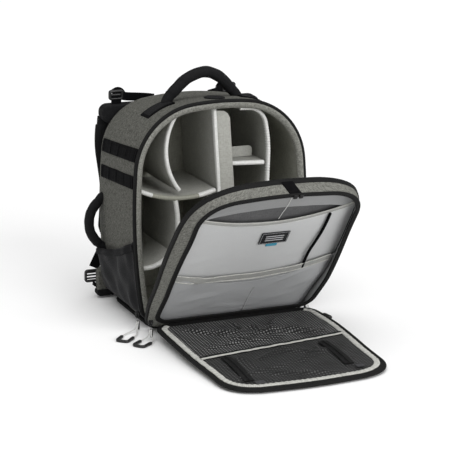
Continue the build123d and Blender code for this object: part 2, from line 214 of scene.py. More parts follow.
# ---------------------------------------------------------------- materials
def math_node(tree, operation, *inputs):
    node = tree.nodes.new("ShaderNodeMath")
    node.operation = operation
    for socket, value in zip(node.inputs, inputs):
        if isinstance(value, (int, float)):
            socket.default_value = value
        else:
            tree.links.new(value, socket)
    return node.outputs[0]


def noise_at(tree, coords, scale, stretch=(1, 1, 1), detail=2.0, rough=0.5):
    mapping = tree.nodes.new("ShaderNodeMapping")
    mapping.inputs["Scale"].default_value = stretch
    tree.links.new(coords, mapping.inputs["Vector"])
    texture = tree.nodes.new("ShaderNodeTexNoise")
    texture.inputs["Scale"].default_value = scale
    texture.inputs["Detail"].default_value = detail
    texture.inputs["Roughness"].default_value = rough
    tree.links.new(mapping.outputs[0], texture.inputs["Vector"])
    return texture.outputs["Fac"]


def textile(name, dark, light, thread=1.2, streak=8.0, blotch=18.0, bump=0.3, roughness=0.8, sheen=0.0,
            specular=0.3, ribs=0.0, contrast=0.22, coat=0.0):
    """Woven cloth: threads that cross, streaks of darker and lighter yarn, slow colour variation and a weave
    bump."""
    made = bpy.data.materials.new(name)
    made.use_nodes = True
    tree = made.node_tree
    links = tree.links
    shader = tree.nodes["Principled BSDF"]
    coords = tree.nodes.new("ShaderNodeTexCoord").outputs["UV"]
    per_metre = 1000 / thread
    warp = noise_at(tree, coords, per_metre * 0.55, (1, 1 / streak, 1), 1.0)
    weft = noise_at(tree, coords, per_metre * 0.55, (1 / streak, 1, 1), 1.0)
    slow = noise_at(tree, coords, 1000 / blotch, (1, 1, 1), 3.0)
    split = tree.nodes.new("ShaderNodeSeparateXYZ")
    links.new(coords, split.inputs[0])
    turn = 2 * math.pi * per_metre
    wave_u = math_node(tree, "SINE", math_node(tree, "MULTIPLY", split.outputs[0], turn))
    wave_v = math_node(tree, "SINE", math_node(tree, "MULTIPLY", split.outputs[1], turn))
    if ribs:
        weave = math_node(tree, "SINE", math_node(tree, "MULTIPLY", split.outputs[0],
                                                  2 * math.pi * 1000 / ribs))
    else:
        weave = math_node(tree, "MULTIPLY", wave_u, wave_v)
    yarn = math_node(tree, "ADD", math_node(tree, "MULTIPLY", warp, 0.5),
                     math_node(tree, "MULTIPLY", weft, 0.5))
    tone = math_node(tree, "ADD", math_node(tree, "MULTIPLY", yarn, 0.75),
                     math_node(tree, "MULTIPLY", slow, 0.25))
    colours = tree.nodes.new("ShaderNodeValToRGB")
    colours.color_ramp.elements[0].position = 0.5 - contrast
    colours.color_ramp.elements[1].position = 0.5 + contrast
    colours.color_ramp.elements[0].color = (*dark, 1)
    colours.color_ramp.elements[1].color = (*light, 1)
    links.new(tone, colours.inputs[0])
    links.new(colours.outputs[0], shader.inputs["Base Color"])
    bumper = tree.nodes.new("ShaderNodeBump")
    bumper.inputs["Strength"].default_value = bump
    bumper.inputs["Distance"].default_value = 0.0006
    height = math_node(tree, "ADD", math_node(tree, "MULTIPLY", weave, 0.5), yarn)
    links.new(height, bumper.inputs["Height"])
    links.new(bumper.outputs[0], shader.inputs["Normal"])
    rough = math_node(tree, "ADD", math_node(tree, "MULTIPLY", slow, 0.16), roughness - 0.08)
    links.new(rough, shader.inputs["Roughness"])
    shader.inputs["Sheen Weight"].default_value = sheen
    shader.inputs["Sheen Roughness"].default_value = 0.5
    shader.inputs["Specular IOR Level"].default_value = specular
    shader.inputs["Coat Weight"].default_value = coat
    shader.inputs["Coat Roughness"].default_value = 0.4
    return made


def netting(name, thread, gap, pitch=4.6):
    """Open mesh: staggered rows of pale eyes between dark threads."""
    made = bpy.data.materials.new(name)
    made.use_nodes = True
    tree = made.node_tree
    links = tree.links
    shader = tree.nodes["Principled BSDF"]
    coords = tree.nodes.new("ShaderNodeTexCoord").outputs["UV"]
    split = tree.nodes.new("ShaderNodeSeparateXYZ")
    links.new(coords, split.inputs[0])
    across = math_node(tree, "MULTIPLY", split.outputs[0], 2 * math.pi * 1000 / pitch)
    along = math_node(tree, "MULTIPLY", split.outputs[1], 2 * math.pi * 1000 / (pitch * 1.1))
    eyes = math_node(tree, "MULTIPLY", math_node(tree, "SINE", math_node(tree, "ADD", across, along)),
                     math_node(tree, "SINE", math_node(tree, "SUBTRACT", across, along)))
    slow = noise_at(tree, coords, 26, (1, 1, 1), 3.0)
    # The slow noise dims and lifts the eyes in patches: painted shade of the mesh's folds and painted
    # highlight between them.
    eyes_fold_shaded = math_node(tree, "MULTIPLY", eyes, math_node(tree, "ADD", math_node(tree, "MULTIPLY", slow, 1.5),
                                                        0.1))
    colours = tree.nodes.new("ShaderNodeValToRGB")
    colours.color_ramp.elements[0].position = 0.24
    colours.color_ramp.elements[1].position = 0.70
    colours.color_ramp.elements[0].color = (*thread, 1)
    colours.color_ramp.elements[1].color = (*gap, 1)
    links.new(eyes_fold_shaded, colours.inputs[0])
    links.new(colours.outputs[0], shader.inputs["Base Color"])
    bumper = tree.nodes.new("ShaderNodeBump")
    bumper.inputs["Strength"].default_value = 0.5
    bumper.inputs["Distance"].default_value = 0.0008
    bumper.invert = True
    links.new(eyes, bumper.inputs["Height"])
    links.new(bumper.outputs[0], shader.inputs["Normal"])
    shader.inputs["Roughness"].default_value = 0.62
    return made


def moulded(name, colour, roughness, metallic=0.0, grain=0.15):
    """Moulded plastic or painted metal: a fine grain, worn a little smoother in patches."""
    made = bpy.data.materials.new(name)
    made.use_nodes = True
    tree = made.node_tree
    links = tree.links
    shader = tree.nodes["Principled BSDF"]
    coords = tree.nodes.new("ShaderNodeTexCoord").outputs["Object"]
    fine = noise_at(tree, coords, 1800, (1, 1, 1), 2.0)
    slow = noise_at(tree, coords, 120, (1, 1, 1), 2.0)
    colours = tree.nodes.new("ShaderNodeValToRGB")
    colours.color_ramp.elements[0].color = (*[c * 0.75 for c in colour], 1)
    colours.color_ramp.elements[1].color = (*[min(1.0, c * 1.3) for c in colour], 1)
    links.new(slow, colours.inputs[0])
    links.new(colours.outputs[0], shader.inputs["Base Color"])
    links.new(math_node(tree, "ADD", math_node(tree, "MULTIPLY", slow, 0.2), roughness - 0.1),
              shader.inputs["Roughness"])
    bumper = tree.nodes.new("ShaderNodeBump")
    bumper.inputs["Strength"].default_value = grain
    bumper.inputs["Distance"].default_value = 0.0003
    links.new(fine, bumper.inputs["Height"])
    links.new(bumper.outputs[0], shader.inputs["Normal"])
    shader.inputs["Metallic"].default_value = metallic
    return made


heather = textile("heather_weave", (0.022, 0.022, 0.018), (0.20, 0.20, 0.18), thread=1.1, streak=2.6,
                  blotch=8,
                  bump=0.6, roughness=0.9, contrast=0.22, specular=0.1)
lid_heather = textile("lid_heather_weave", (0.034, 0.034, 0.029), (0.30, 0.30, 0.272), thread=1.1, streak=2.4,
                      blotch=7, bump=0.5, roughness=0.9, contrast=0.24, specular=0.1)
lip_heather = textile("lip_heather_weave", (0.07, 0.07, 0.06), (0.36, 0.36, 0.33), thread=1.1, streak=2.4,
                      blotch=7,
                      bump=0.5, roughness=0.9, contrast=0.24, specular=0.1)
flap_heather = textile("flap_weave", (0.03, 0.03, 0.026), (0.22, 0.22, 0.20), thread=1.3, streak=3.2,
                       blotch=9,
                       bump=0.6, roughness=0.9, contrast=0.22, specular=0.1)
black_pad = textile("black_padding", (0.0045, 0.0045, 0.005), (0.014, 0.014, 0.015), thread=1.0, bump=0.35,
                    roughness=0.8, specular=0.12)
tape_black = textile("zipper_tape_weave", (0.004, 0.004, 0.004), (0.012, 0.012, 0.012), thread=0.8, bump=0.3,
                     roughness=0.72, specular=0.15)
web_black = textile("webbing_weave", (0.002, 0.002, 0.0022), (0.008, 0.008, 0.009), thread=1.4, ribs=2.2,
                    bump=0.7,
                    roughness=0.8, specular=0.04)
stretch_black = textile("stretch_knit", (0.004, 0.004, 0.0045), (0.009, 0.009, 0.0105), thread=0.7, bump=0.2,
                        roughness=0.62, specular=0.14)
pale_binding = textile("pale_binding", (0.30, 0.30, 0.28), (0.64, 0.64, 0.60), thread=0.9, ribs=3.4, bump=0.7,
                       roughness=0.75)
bright_binding = textile("bright_binding", (0.56, 0.56, 0.54), (0.84, 0.84, 0.82), thread=0.9, bump=0.3,
                         roughness=0.7)
green_binding = textile("green_binding", (0.22, 0.22, 0.18), (0.36, 0.36, 0.31), thread=0.9, ribs=4.2,
                        bump=0.8,
                        roughness=0.75)
brushed = textile("brushed_lining", (0.27, 0.27, 0.245), (0.46, 0.46, 0.43), thread=1.5, streak=2, bump=0.4,
                  roughness=0.92, contrast=0.3, specular=0.1)
wall_lining = textile("wall_lining", (0.24, 0.24, 0.205), (0.44, 0.44, 0.39), thread=1.4, streak=3, bump=0.4,
                      roughness=0.92, contrast=0.3, specular=0.1)
silver = textile("silver_nylon", (0.46, 0.465, 0.465), (0.56, 0.565, 0.565), thread=0.6, streak=3, bump=0.12,
                 roughness=0.46, specular=0.5, contrast=0.35)
# The same silver nylon made darker for the lower pocket: painted shade of the lid lining's fall-off towards
# the bottom.
silver_painted_shade_low = textile("silver_nylon_painted_shade_low", (0.34, 0.345, 0.35), (0.42, 0.425, 0.43), thread=0.6, streak=3,
                     bump=0.12,
                     roughness=0.46, specular=0.5, contrast=0.35)
# The same silver nylon made much darker for the upper lining: painted shade of the recess above the sleeve.
silver_painted_shade_high = textile("silver_nylon_painted_shade_high", (0.22, 0.223, 0.223), (0.29, 0.293, 0.293), thread=0.6, streak=3,
                      bump=0.12, roughness=0.46, specular=0.5, contrast=0.35)
# Dark grey of the lid's padded wall behind the sleeve: partly a darker cloth, mostly painted shade of the
# recess under the sleeve's opening.
recess_painted_shade = textile("recess_lining_painted_shade", (0.07, 0.07, 0.072), (0.13, 0.13, 0.132), thread=0.8, roughness=0.8,
                       specular=0.2)
pocket_hem = textile("pocket_hem", (0.26, 0.26, 0.25), (0.38, 0.38, 0.36), thread=0.8, ribs=3.0, bump=0.4,
                     roughness=0.7)
net = netting("black_mesh", (0.004, 0.004, 0.004), (0.30, 0.30, 0.296), pitch=11.6)
# The same black mesh with much darker eyes for the far pocket: painted shade of its folds.
net_painted_fold_shade = netting("black_mesh_painted_fold_shade", (0.003, 0.003, 0.003), (0.075, 0.075, 0.074), pitch=11.6)
label_black = textile("label_weave", (0.004, 0.004, 0.005), (0.010, 0.010, 0.012), thread=0.5, roughness=0.6)
label_blue = textile("label_tab_weave", (0.03, 0.20, 0.30), (0.08, 0.34, 0.46), thread=0.5, roughness=0.6)
thread_grey = textile("label_thread", (0.42, 0.42, 0.43), (0.66, 0.66, 0.67), thread=0.4)
mesh_tab_cloth = textile("mesh_tab_cloth", (0.03, 0.03, 0.032), (0.06, 0.06, 0.064), thread=0.8)
thread_white = textile("stitch_thread", (0.5, 0.5, 0.48), (0.8, 0.8, 0.78), thread=0.4, roughness=0.7)
cord_white = textile("white_braid", (0.55, 0.55, 0.53), (0.9, 0.9, 0.88), thread=1.1, bump=0.8,
                     roughness=0.75)
plastic_black = moulded("black_plastic", (0.008, 0.008, 0.008), 0.42)
metal_black = moulded("black_metal", (0.012, 0.012, 0.012), 0.35, metallic=0.6)


# ---------------------------------------------------------------- mesh building
def keep(obj, body, material, replaces=()):
    """Give a finished piece its material, let it ride on its body (a piece given a tuple of bodies and places
    is only baked in place), and hide the CAD nodes it stands for."""
    obj.data.materials.append(material)
    if isinstance(body, str):
        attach(obj, body)
    else:
        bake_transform(obj)
    if replaces:
        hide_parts(*replaces)
    return obj


def mesh_object(name, verts, faces, uvs, sharp=55.0):
    mesh = bpy.data.meshes.new(name)
    mesh.from_pydata([tuple(v * MM) for v in verts], [], faces)
    layer = mesh.uv_layers.new(name="cloth")
    flat = [value for face in uvs for uv in face for value in (uv[0] * MM, uv[1] * MM)]
    layer.data.foreach_set("uv", flat)
    work = bmesh.new()
    work.from_mesh(mesh)
    bmesh.ops.recalc_face_normals(work, faces=work.faces)
    for face in work.faces:
        face.smooth = True
    for edge in work.edges:
        if len(edge.link_faces) == 2 and math.degrees(edge.calc_face_angle(0.0)) > sharp:
            edge.smooth = False
    work.to_mesh(mesh)
    work.free()
    obj = bpy.data.objects.new(name, mesh)
    scene.collection.objects.link(obj)
    return obj


def running(points, loop=False):
    """How far each point lies along a line, with the closing run's end added for a loop."""
    total, found = 0.0, [0.0]
    for a, b in zip(points, points[1:] + points[:1] if loop else points[1:]):
        total += (b - a).length
        found.append(total)
    return found


def skin(name, rows, loop_rows=False, loop_columns=False, caps=False, planar=None, sharp=55.0):
    """A mesh of quads over rows of points; planar maps a point to flat cloth coordinates, else lengths are
    used."""
    count, width = len(rows), len(rows[0])
    along = running([row[width // 2] for row in rows], loop_rows)
    across = running(rows[count // 2], loop_columns)
    verts = [point for row in rows for point in row]
    faces, uvs = [], []
    for r in range(count if loop_rows else count - 1):
        for c in range(width if loop_columns else width - 1):
            below, right = (r + 1) % count, (c + 1) % width
            faces.append((r * width + c, r * width + right, below * width + right, below * width + c))
            uvs.append([(along[r], across[c]), (along[r], across[c + 1]),
                        (along[r + 1], across[c + 1]), (along[r + 1], across[c])])
    if caps:
        for first in (0, (count - 1) * width):
            faces.append(tuple(range(first, first + width)))
            middle = rows[first // width][0]
            uvs.append([((p - middle).x, (p - middle).y + (p - middle).z) for p in rows[first // width]])
    if planar:
        uvs = [[planar(verts[v]) for v in face] for face in faces]
    return mesh_object(name, verts, faces, uvs, sharp)


def frames(path, normal, loop=False):
    """For each point of a line, its direction, its side and its own normal, kept near the given normal."""
    found = []
    count = len(path)
    for index, point in enumerate(path):
        before = path[index - 1] if index or loop else point
        after = path[(index + 1) % count] if index < count - 1 or loop else point
        ahead = (after - before).normalized()
        up = normal(index) if callable(normal) else normal
        side = ahead.cross(up).normalized()
        found.append((ahead, side, side.cross(ahead)))
    return found


def sweep(name, path, section, normal, loop=False, scale=None, sharp=55.0):
    """Carry a closed section of (side, normal) places along a line; scale(index) gives its (side, normal)
    sizes."""
    rows = []
    for index, (point, (ahead, side, up)) in enumerate(zip(path, frames(path, normal, loop))):
        wide, high = scale(index) if scale else (1.0, 1.0)
        rows.append([point + side * a * wide + up * b * high for a, b in section])
    return skin(name, rows, loop_rows=loop, loop_columns=True, caps=not loop, sharp=sharp)


def oval(wide, high, count=12, power=2.0):
    """A superellipse section, round at power 2 and boxier above it."""
    found = []
    for step in range(count):
        angle = 2 * math.pi * (step + 0.5) / count
        c, s = math.cos(angle), math.sin(angle)
        found.append((math.copysign(abs(c)**(2 / power), c) * wide,
                      math.copysign(abs(s)**(2 / power), s) * high))
    return found


def spline(points, count):
    """A smooth line of count points through a few given ones (Catmull-Rom)."""
    padded = [points[0] * 2 - points[1]] + list(points) + [points[-1] * 2 - points[-2]]
    runs = len(points) - 1
    found = []
    for step in range(count):
        place = step * runs / (count - 1)
        index = min(int(place), runs - 1)
        t = place - index
        a, b, c, d = padded[index:index + 4]
        found.append(0.5 * ((2 * b) + (c - a) * t + (2 * a - 5 * b + 4 * c - d) * t**2
                            + (3 * b - a - 3 * c + d) * t**3))
    return found


def arc_through(a, b, c, count):
    """Points of the flat arc through three places (given as x, y pairs)."""
    ax, ay, bx, by, cx, cy = *a, *b, *c
    d = 2 * (ax * (by - cy) + bx * (cy - ay) + cx * (ay - by))
    ux = ((ax**2 + ay**2) * (by - cy) + (bx**2 + by**2) * (cy - ay) + (cx**2 + cy**2) * (ay - by)) / d
    uy = ((ax**2 + ay**2) * (cx - bx) + (bx**2 + by**2) * (ax - cx) + (cx**2 + cy**2) * (bx - ax)) / d
    radius = math.hypot(ax - ux, ay - uy)
    turns = [math.atan2(y - uy, x - ux) for x, y in (a, b, c)]
    start, middle, stop = turns
    sweep_angle = (stop - start) % (2 * math.pi)
    if (middle - start) % (2 * math.pi) > sweep_angle:
        sweep_angle -= 2 * math.pi
    return [Vector((ux + radius * math.cos(start + sweep_angle * step / (count - 1)),
                    uy + radius * math.sin(start + sweep_angle * step / (count - 1))))
            for step in range(count)]


def arch_ring(name, plane, shape, inset, out, section, ripple=0.0, pitch=6.0):
    """Carry a section (outward, towards the plane's normal) round an arch."""
    path = [plane.at(p.x, p.y, out) for p in arch(shape, inset)]
    if ripple:
        path = resample(path, 4.0 * pitch / 12, loop=True)
        lengths = running(path)

        def scale(index):
            swell = 1 + ripple * math.sin(2 * math.pi * lengths[index] / pitch) * (
                0.6 + 0.8 * noise.noise(path[index] / 30))
            return swell, swell
        return sweep(name, path, section, plane.out, loop=True, scale=scale)
    return sweep(name, path, section, plane.out, loop=True)


def resample(path, step, loop=False):
    """Even points along a line."""
    closed = list(path) + ([path[0]] if loop else [])
    lengths = running(closed)
    count = max(3, round(lengths[-1] / step))
    found, index = [], 0
    for n in range(count if loop else count + 1):
        place = lengths[-1] * n / count
        while index < len(closed) - 2 and lengths[index + 1] < place:
            index += 1
        span = lengths[index + 1] - lengths[index]
        found.append(mix(closed[index], closed[index + 1], (place - lengths[index]) / max(span, 1e-9)))
    return found


def coil(name, path, normal, radius=1.0, pitch=2.4, wire=0.42, loop=False):
    """A zipper's coil: a wire wound round a line, six points to a turn."""
    line = resample(path, pitch / 6, loop)
    turned = frames(line, normal, loop)
    wound = []
    for index, (point, (ahead, side, up)) in enumerate(zip(line, turned)):
        angle = 2 * math.pi * index / 6
        wound.append(point + side * radius * 1.4 * math.cos(angle) + up * radius * math.sin(angle))
    return sweep(name, wound, oval(wire, wire, 4), normal, loop=loop, sharp=180)


RINGS = [1.0, 0.985, 0.965, 0.94, 0.91, 0.87, 0.82, 0.76, 0.7, 0.63, 0.56, 0.49, 0.42, 0.35, 0.28, 0.21, 0.14,
         0.07,
         0.02]


def panel(name, plane, outline, surface, base=None, thickness=1.0, centre=None, rings=RINGS):
    """A cloth or padded panel with that outline: surface(index, share, x, up) is its face, base its flat
    underside."""
    middle = centre or Vector((0, sum(p.y for p in outline) / len(outline)))
    face_rows, under_rows = [], []
    for share in rings:
        face, under = [], []
        for index, edge in enumerate(outline):
            spot = mix(middle, edge, share)
            out = surface(index, share, spot.x, spot.y)
            below = out - thickness if base is None else base
            face.append(plane.at(spot.x, spot.y, out))
            under.append(plane.at(spot.x, spot.y, below))
        face_rows.append(face)
        under_rows.append(under)
    rows = list(reversed(face_rows)) + under_rows

    def planar(point):
        local = point - plane.origin
        return local.x, local.dot(plane.up)
    return skin(name, rows, loop_columns=True, caps=True, planar=planar, sharp=70)


# ---------------------------------------------------------------- camera
camera_data = bpy.data.cameras.new("camera")
camera_data.lens = 134.9
camera_data.sensor_width = 36.0
camera_data.clip_end = 100.0
camera = bpy.data.objects.new("camera", camera_data)
scene.collection.objects.link(camera)
scene.camera = camera
camera.location = (-1.2055, -3.0609, 1.0040)
camera_target = Vector((0.0148, -0.1075, 0.1805))
camera.rotation_euler = (camera_target - camera.location).to_track_quat("-Z", "Y").to_euler()


# ---------------------------------------------------------------- cords
def cord_curve(name, points, diameter, material):
    """A smooth round cord on those control points."""
    data = bpy.data.curves.new(name, "CURVE")
    data.dimensions = "3D"
    line = data.splines.new("NURBS")
    line.points.add(len(points) - 1)
    for control, point in zip(line.points, points):
        control.co = (*(point * MM), 1)
    line.order_u = 3
    line.use_endpoint_u = True
    line.resolution_u = 10
    data.bevel_depth = diameter / 2 * MM
    data.bevel_resolution = 3
    data.use_fill_caps = True
    obj = bpy.data.objects.new(name, data)
    scene.collection.objects.link(obj)
    data.materials.append(material)
    return obj


leash_out = 19.4
leash_route = ((120, 334), (121, 296), (117, 254), (110, 212), (113, 170))
leash_points = [flat_lid.at(x, up, leash_out) for x, up in leash_route]
leash_diameter = 5.5
leash = cord_curve("leash_cord", leash_points, leash_diameter, web_black)
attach(leash, "lid")
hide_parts("key_leash")

# Cord routes from the eye under a slider to one end of its grip: along the pull, aside, and above the floor
LONG_DROP = [(0, 1.4, 20), (4, 1.6, 10.5), (13, 4, 4.5), (25, 9.5, 3), (37, 11.5, 3), (47, 11.5, 3)]
SHORT_DROP = [(0, 1.4, 22.5), (2, 1.5, 14), (4.5, 6, 7), (9, 11.5, 3), (18, 11.5, 3)]
PULLS = {
    "main_left": ((-176, -7), 227, LONG_DROP, 0.056),
    "main_right": ((176, -7), -80.5, LONG_DROP, 0.056),
    "pocket_left": ((-173, -72), 218.5, SHORT_DROP, 0.033),
}
cord_diameter = 2.6
grip_length = 28.0
grip_half_width = 11.5
grip_height = 3.0


def pull_place(eye, direction):
    """A function from (along, aside, height) of a pull to a place."""
    turn = math.radians(direction)
    ahead = Vector((math.cos(turn), math.sin(turn), 0))
    aside = Vector((-math.sin(turn), math.cos(turn), 0))
    start = Vector((eye[0], mouth_y + eye[1], 0))
    return lambda a, b, height: start + ahead * a + aside * b + Vector((0, 0, height))


for pull, (eye, direction, route, cord_length) in PULLS.items():
    place = pull_place(eye, direction)
    near = route[-1][0] - 1.0
    far = near + grip_length
    corner = 6.0
    bend = [(far - corner + corner * math.cos(a), grip_half_width - corner + corner * math.sin(a))
            for a in [math.radians(90 - 15 * step) for step in range(7)]]
    half = [(near + (far - corner - near) * step / 8, grip_half_width) for step in range(8)] + bend
    route_round = half + [(a, -b) for a, b in reversed(half)]
    line = [place(a, b, grip_height) for a, b in route_round]
    ends = len(line) - 1

    def grip_scale(index, ends=ends):
        from_end = min(index, ends - index)
        if from_end == 0:
            return 0.72, 0.72
        return (1.12, 1.0) if from_end < 5 else (0.92, 0.95)
    grip = sweep(f"{pull}_grip_loop", line, oval(2.9, 2.8, 12, 2.8), Vector((0, 0, 1)), scale=grip_scale)
    keep(grip, f"{pull}_pull", plastic_black, [f"{pull}_grip"])
    for number, side in enumerate((1, -1), 1):
        points = [place(a, side * b, height) for a, b, height in route]
        strand = cord_curve(f"{pull}_strand_{number}", points, cord_diameter, cord_white)
        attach(strand, f"{pull}_pull")
        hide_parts(f"{pull}_cord")


# ---------------------------------------------------------------- shell: cover, lining, mouth and base
def hull_band(name, outer, inner, rows, soft, seed):
    """A closed band of the shell between two insets, softly uneven on both faces."""
    shares = [0.014 + (1.0 - 0.014) * step / (rows - 1) for step in range(rows)]

    def layer(inset, side):
        made = []
        for share in shares:
            fade = math.sin(math.pi * min(1.0, share))
            ring = hull_ring(inset, share)
            away = hull_ring(inset - 1.0, share)
            row = []
            for place, next_out in zip(ring, away):
                push = side * fade * (soft * 0.8 + rumple(place, 55, soft, seed) + rumple(place, 22,
                                                                                          soft * 0.25, seed))
                row.append(place + (next_out - place) * push)
            made.append(row)
        return made
    outside, inside = layer(outer, 1.0), layer(inner, -1.0)
    return skin(name, outside + list(reversed(inside)), loop_rows=True, loop_columns=True)


cover = hull_band("shell_cover", 0.0, 5.4, 34, 1.1, 3.0)
keep(cover, "shell", heather, ["side_wall"])
wall_pad = hull_band("shell_wall_lining", 5.6, 10.8, 26, 0.9, 9.0)
keep(wall_pad, "shell", wall_lining)

lip_section = [(4.4, -2.9), (4.6, -0.1), (3.6, 0.8), (0.6, 0.8), (-2.6, 0.2), (-5.6, -2.2), (-7.4, -4.8),
               (-7.5, -6.6),
               (-6.2, -6.9), (-1.0, -3.4)]
lip = arch_ring("mouth_lip", mouth, MOUTH, 8.8, 0.0, lip_section)
keep(lip, "shell", lip_heather, ["mouth_binding"])
tape_section = [(-2.3, -2.9), (-2.3, 0.1), (-1.8, 0.5), (2.2, 0.6), (3.1, 0.0), (3.3, -2.9)]
mouth_tape = arch_ring("mouth_zipper_tape", mouth, MOUTH, 2.4, 0.0, tape_section)
keep(mouth_tape, "shell", tape_black, ["main_zipper_tape", "hinge_strip"])
edge_piping = arch_ring("mouth_edge_piping", mouth, MOUTH, 0.3, -3.6, oval(2.1, 2.1, 10))
keep(edge_piping, "shell", tape_black)


def part_above(path, height):
    """The run of a closed line that stays above a height, from its right end over the crown to its left
    end."""
    return [point for point in path if point.z > height]


mouth_line = part_above([mouth.at(p.x, p.y, 0.4) for p in arch(MOUTH, 2.2)], 34)
mouth_coil = coil("mouth_zipper_coil", mouth_line, mouth.out, radius=0.6)
keep(mouth_coil, "shell", tape_black)


def rounded_box_outline(half_x, half_y, corner, count=8, centre=(0, 0)):
    """The outline of a rounded rectangle, anticlockwise."""
    found = []
    for quarter, (sx, sy) in enumerate(((1, 1), (-1, 1), (-1, -1), (1, -1))):
        for step in range(count):
            angle = math.radians(90 * quarter + 90 * step / (count - 1))
            found.append(Vector((centre[0] + sx * (half_x - corner) + corner * math.cos(angle),
                                 centre[1] + sy * (half_y - corner) + corner * math.sin(angle))))
    return found


def slab(name, plane, outline, low, high, edge=2.0, dome=0.0, steps=4, sharp=70):
    """A rounded slab over an outline, from one offset of a plane to another, its upper face slightly
    domed."""
    middle = Vector((sum(p.x for p in outline), sum(p.y for p in outline))) / len(outline)
    reach = max((p - middle).length for p in outline)
    rows = []
    bend = [math.radians(90 * step / steps) for step in range(steps + 1)]
    inner = [0.02, 0.2, 0.4, 0.6, 0.8]

    def ring(inset, share, out):
        row = []
        for p in outline:
            away = p - middle
            shrunk = max(0.0, 1 - inset / max(away.length, 1e-6)) * share
            row.append(plane.at(middle.x + away.x * shrunk, middle.y + away.y * shrunk, out))
        return row
    rise = 1 if high > low else -1
    for share in inner:
        rows.append(ring(edge, share, high + rise * dome * (1 - share**2)))
    rows += [ring(edge * (1 - math.sin(a)), 1.0, high - rise * edge * (1 - math.cos(a))) for a in bend]
    rows += [ring(edge * (1 - math.cos(a)), 1.0, low + rise * edge * (1 - math.sin(a))) for a in bend]
    for share in reversed(inner):
        rows.append(ring(edge, share, low))

    def planar(point):
        local = point - plane.origin
        return local.x, local.dot(plane.up)
    return skin(name, rows, loop_columns=True, caps=True, planar=planar, sharp=sharp)


class Floor:
    """The plane of the floor, up along +Y and out to +Z."""
    origin = Vector((0, 0, 0))
    up = Vector((0, 1, 0))
    out = Vector((0, 0, 1))

    @staticmethod
    def at(x, up, out=0.0):
        return Vector((x, up, out))


base = slab("base_pad", Floor, rounded_box_outline(150, 105.5, 24), 0.0, 8.2, edge=2.6)
keep(base, "shell", black_pad, ["base_panel"])
base_piping = sweep("base_piping", [Vector((p.x, p.y, 5.4)) for p in rounded_box_outline(149.4, 104.9, 24,
                                                                                         12)],
                    oval(1.6, 1.6, 8), Vector((0, 0, 1)), loop=True)
keep(base_piping, "shell", tape_black)

# Back panel: an outer fabric cover over a pale inner face
back_cover = panel("back_cover", back, arch(BACK, 1.6),
                   lambda i, s, x, up: rumple(Vector((x, 0, up)), 60,
                                              0.5) - 8.0 - 6.2 * (1 - ramp(s, 0.93, 1.0)),
                   base=-2.0)
keep(back_cover, "shell", heather, ["back_panel"])
back_lining = panel("back_lining", back, arch(BACK, 10.9),
                    lambda i, s, x, up: 0.8 * (1 - ramp(s, 0.95, 1.0)) + rumple(Vector((x, 9, up)), 60, 0.5),
                    base=-1.9)
keep(back_lining, "shell", wall_lining)


# ---------------------------------------------------------------- dividers
def back_y(z):
    """Where the back panel's inner face stands at a height."""
    return back.at(0, (z - floor_height) / back.up.z).y


def fit(point, hold):
    """Pull a divider's point inside the shell's lining, sideways or downward."""
    limit = 11.8
    if hold == "x":
        wide = hull_half_width(point.y, point.z, limit)
        return Vector((max(-wide, min(wide, point.x)), point.y, point.z))
    if hold == "z":
        return Vector((point.x, point.y, min(hull_top(point.x, point.y, limit), point.z)))
    return point


def partition(name, edge, thickness=7.0, front=14.0, hold="x", cloth=brushed, trim=bright_binding, trims=None,
              ripple=0.0, sag=0.6):
    """A padded divider from its edge line across the mouth to the back panel, with a bound front edge."""
    line = [Vector((p.x, mouth_y + front, p.y + floor_height)) for p in edge]
    turned = frames(line, Vector((0, -1, 0)))
    half = thickness / 2
    nose = [math.radians(-90 + 180 * step / 8) for step in range(9)]
    rows = []
    for index, (point, (ahead, side, up)) in enumerate(zip(line, turned)):
        deep = back_y(point.z) - 1.0 - point.y
        section = [(half - half * math.cos(a), half * math.sin(a)) for a in nose]
        inward = [deep * share for share in (0.08, 0.16, 0.26, 0.38, 0.5, 0.62, 0.74, 0.86, 1.0)]
        section += [(d, half + sag * math.sin(math.pi * min(1, d / deep))) for d in inward]
        section += [(d, -half - sag * math.sin(math.pi * min(1, d / deep))) for d in reversed(inward)]
        row = []
        for d, aside in section:
            place = point + side * aside + Vector((0, d, 0))
            place += side * rumple(place, 45, 0.5, 5.0)
            row.append(fit(place, hold))
        rows.append(row)
    padded = skin(name, rows, loop_columns=True, caps=True)
    keep(padded, "shell", cloth)
    fine = resample(line, 1.1)
    lengths = running(fine)
    fine_frames = frames(fine, Vector((0, -1, 0)))
    for number, (start, stop, material) in enumerate(trims or [(0.0, 1.0, trim)], 1):
        rows = []
        for index in range(int(start * (len(fine) - 1)), int(stop * (len(fine) - 1)) + 1):
            point, (ahead, side, up) = fine[index], fine_frames[index]
            swell = 0.55 + ripple * math.sin(2 * math.pi * lengths[index] / 5.2) * (1
                                                                                    + noise.noise(point / 16))
            outer = half + swell
            reach = 9.0 + 0.8 * noise.noise(point / 24)
            section = [(reach, -outer + 0.3), (reach * 0.5, -outer)]
            section += [(half - outer * math.cos(a), outer * math.sin(a)) for a in nose]
            section += [(reach * 0.5, outer), (reach, outer - 0.3), (reach, outer - 1.2), (half, 0.0),
                        (reach, -outer + 1.2)]
            rows.append([fit(point + side * aside + Vector((0, d, 0)), hold) for d, aside in section])
        bound = skin(f"{name}_edge_{number}" if trims else f"{name}_edge", rows, loop_columns=True, caps=True)
        keep(bound, "shell", material)
    return padded


def straight(*corners, count=40):
    """Even points along straight runs (given as x, y pairs)."""
    path = [Vector((x, y, 0)) for x, y in corners]
    total = running(path)[-1]
    return [Vector((p.x, p.y)) for p in resample(path, total / count)]


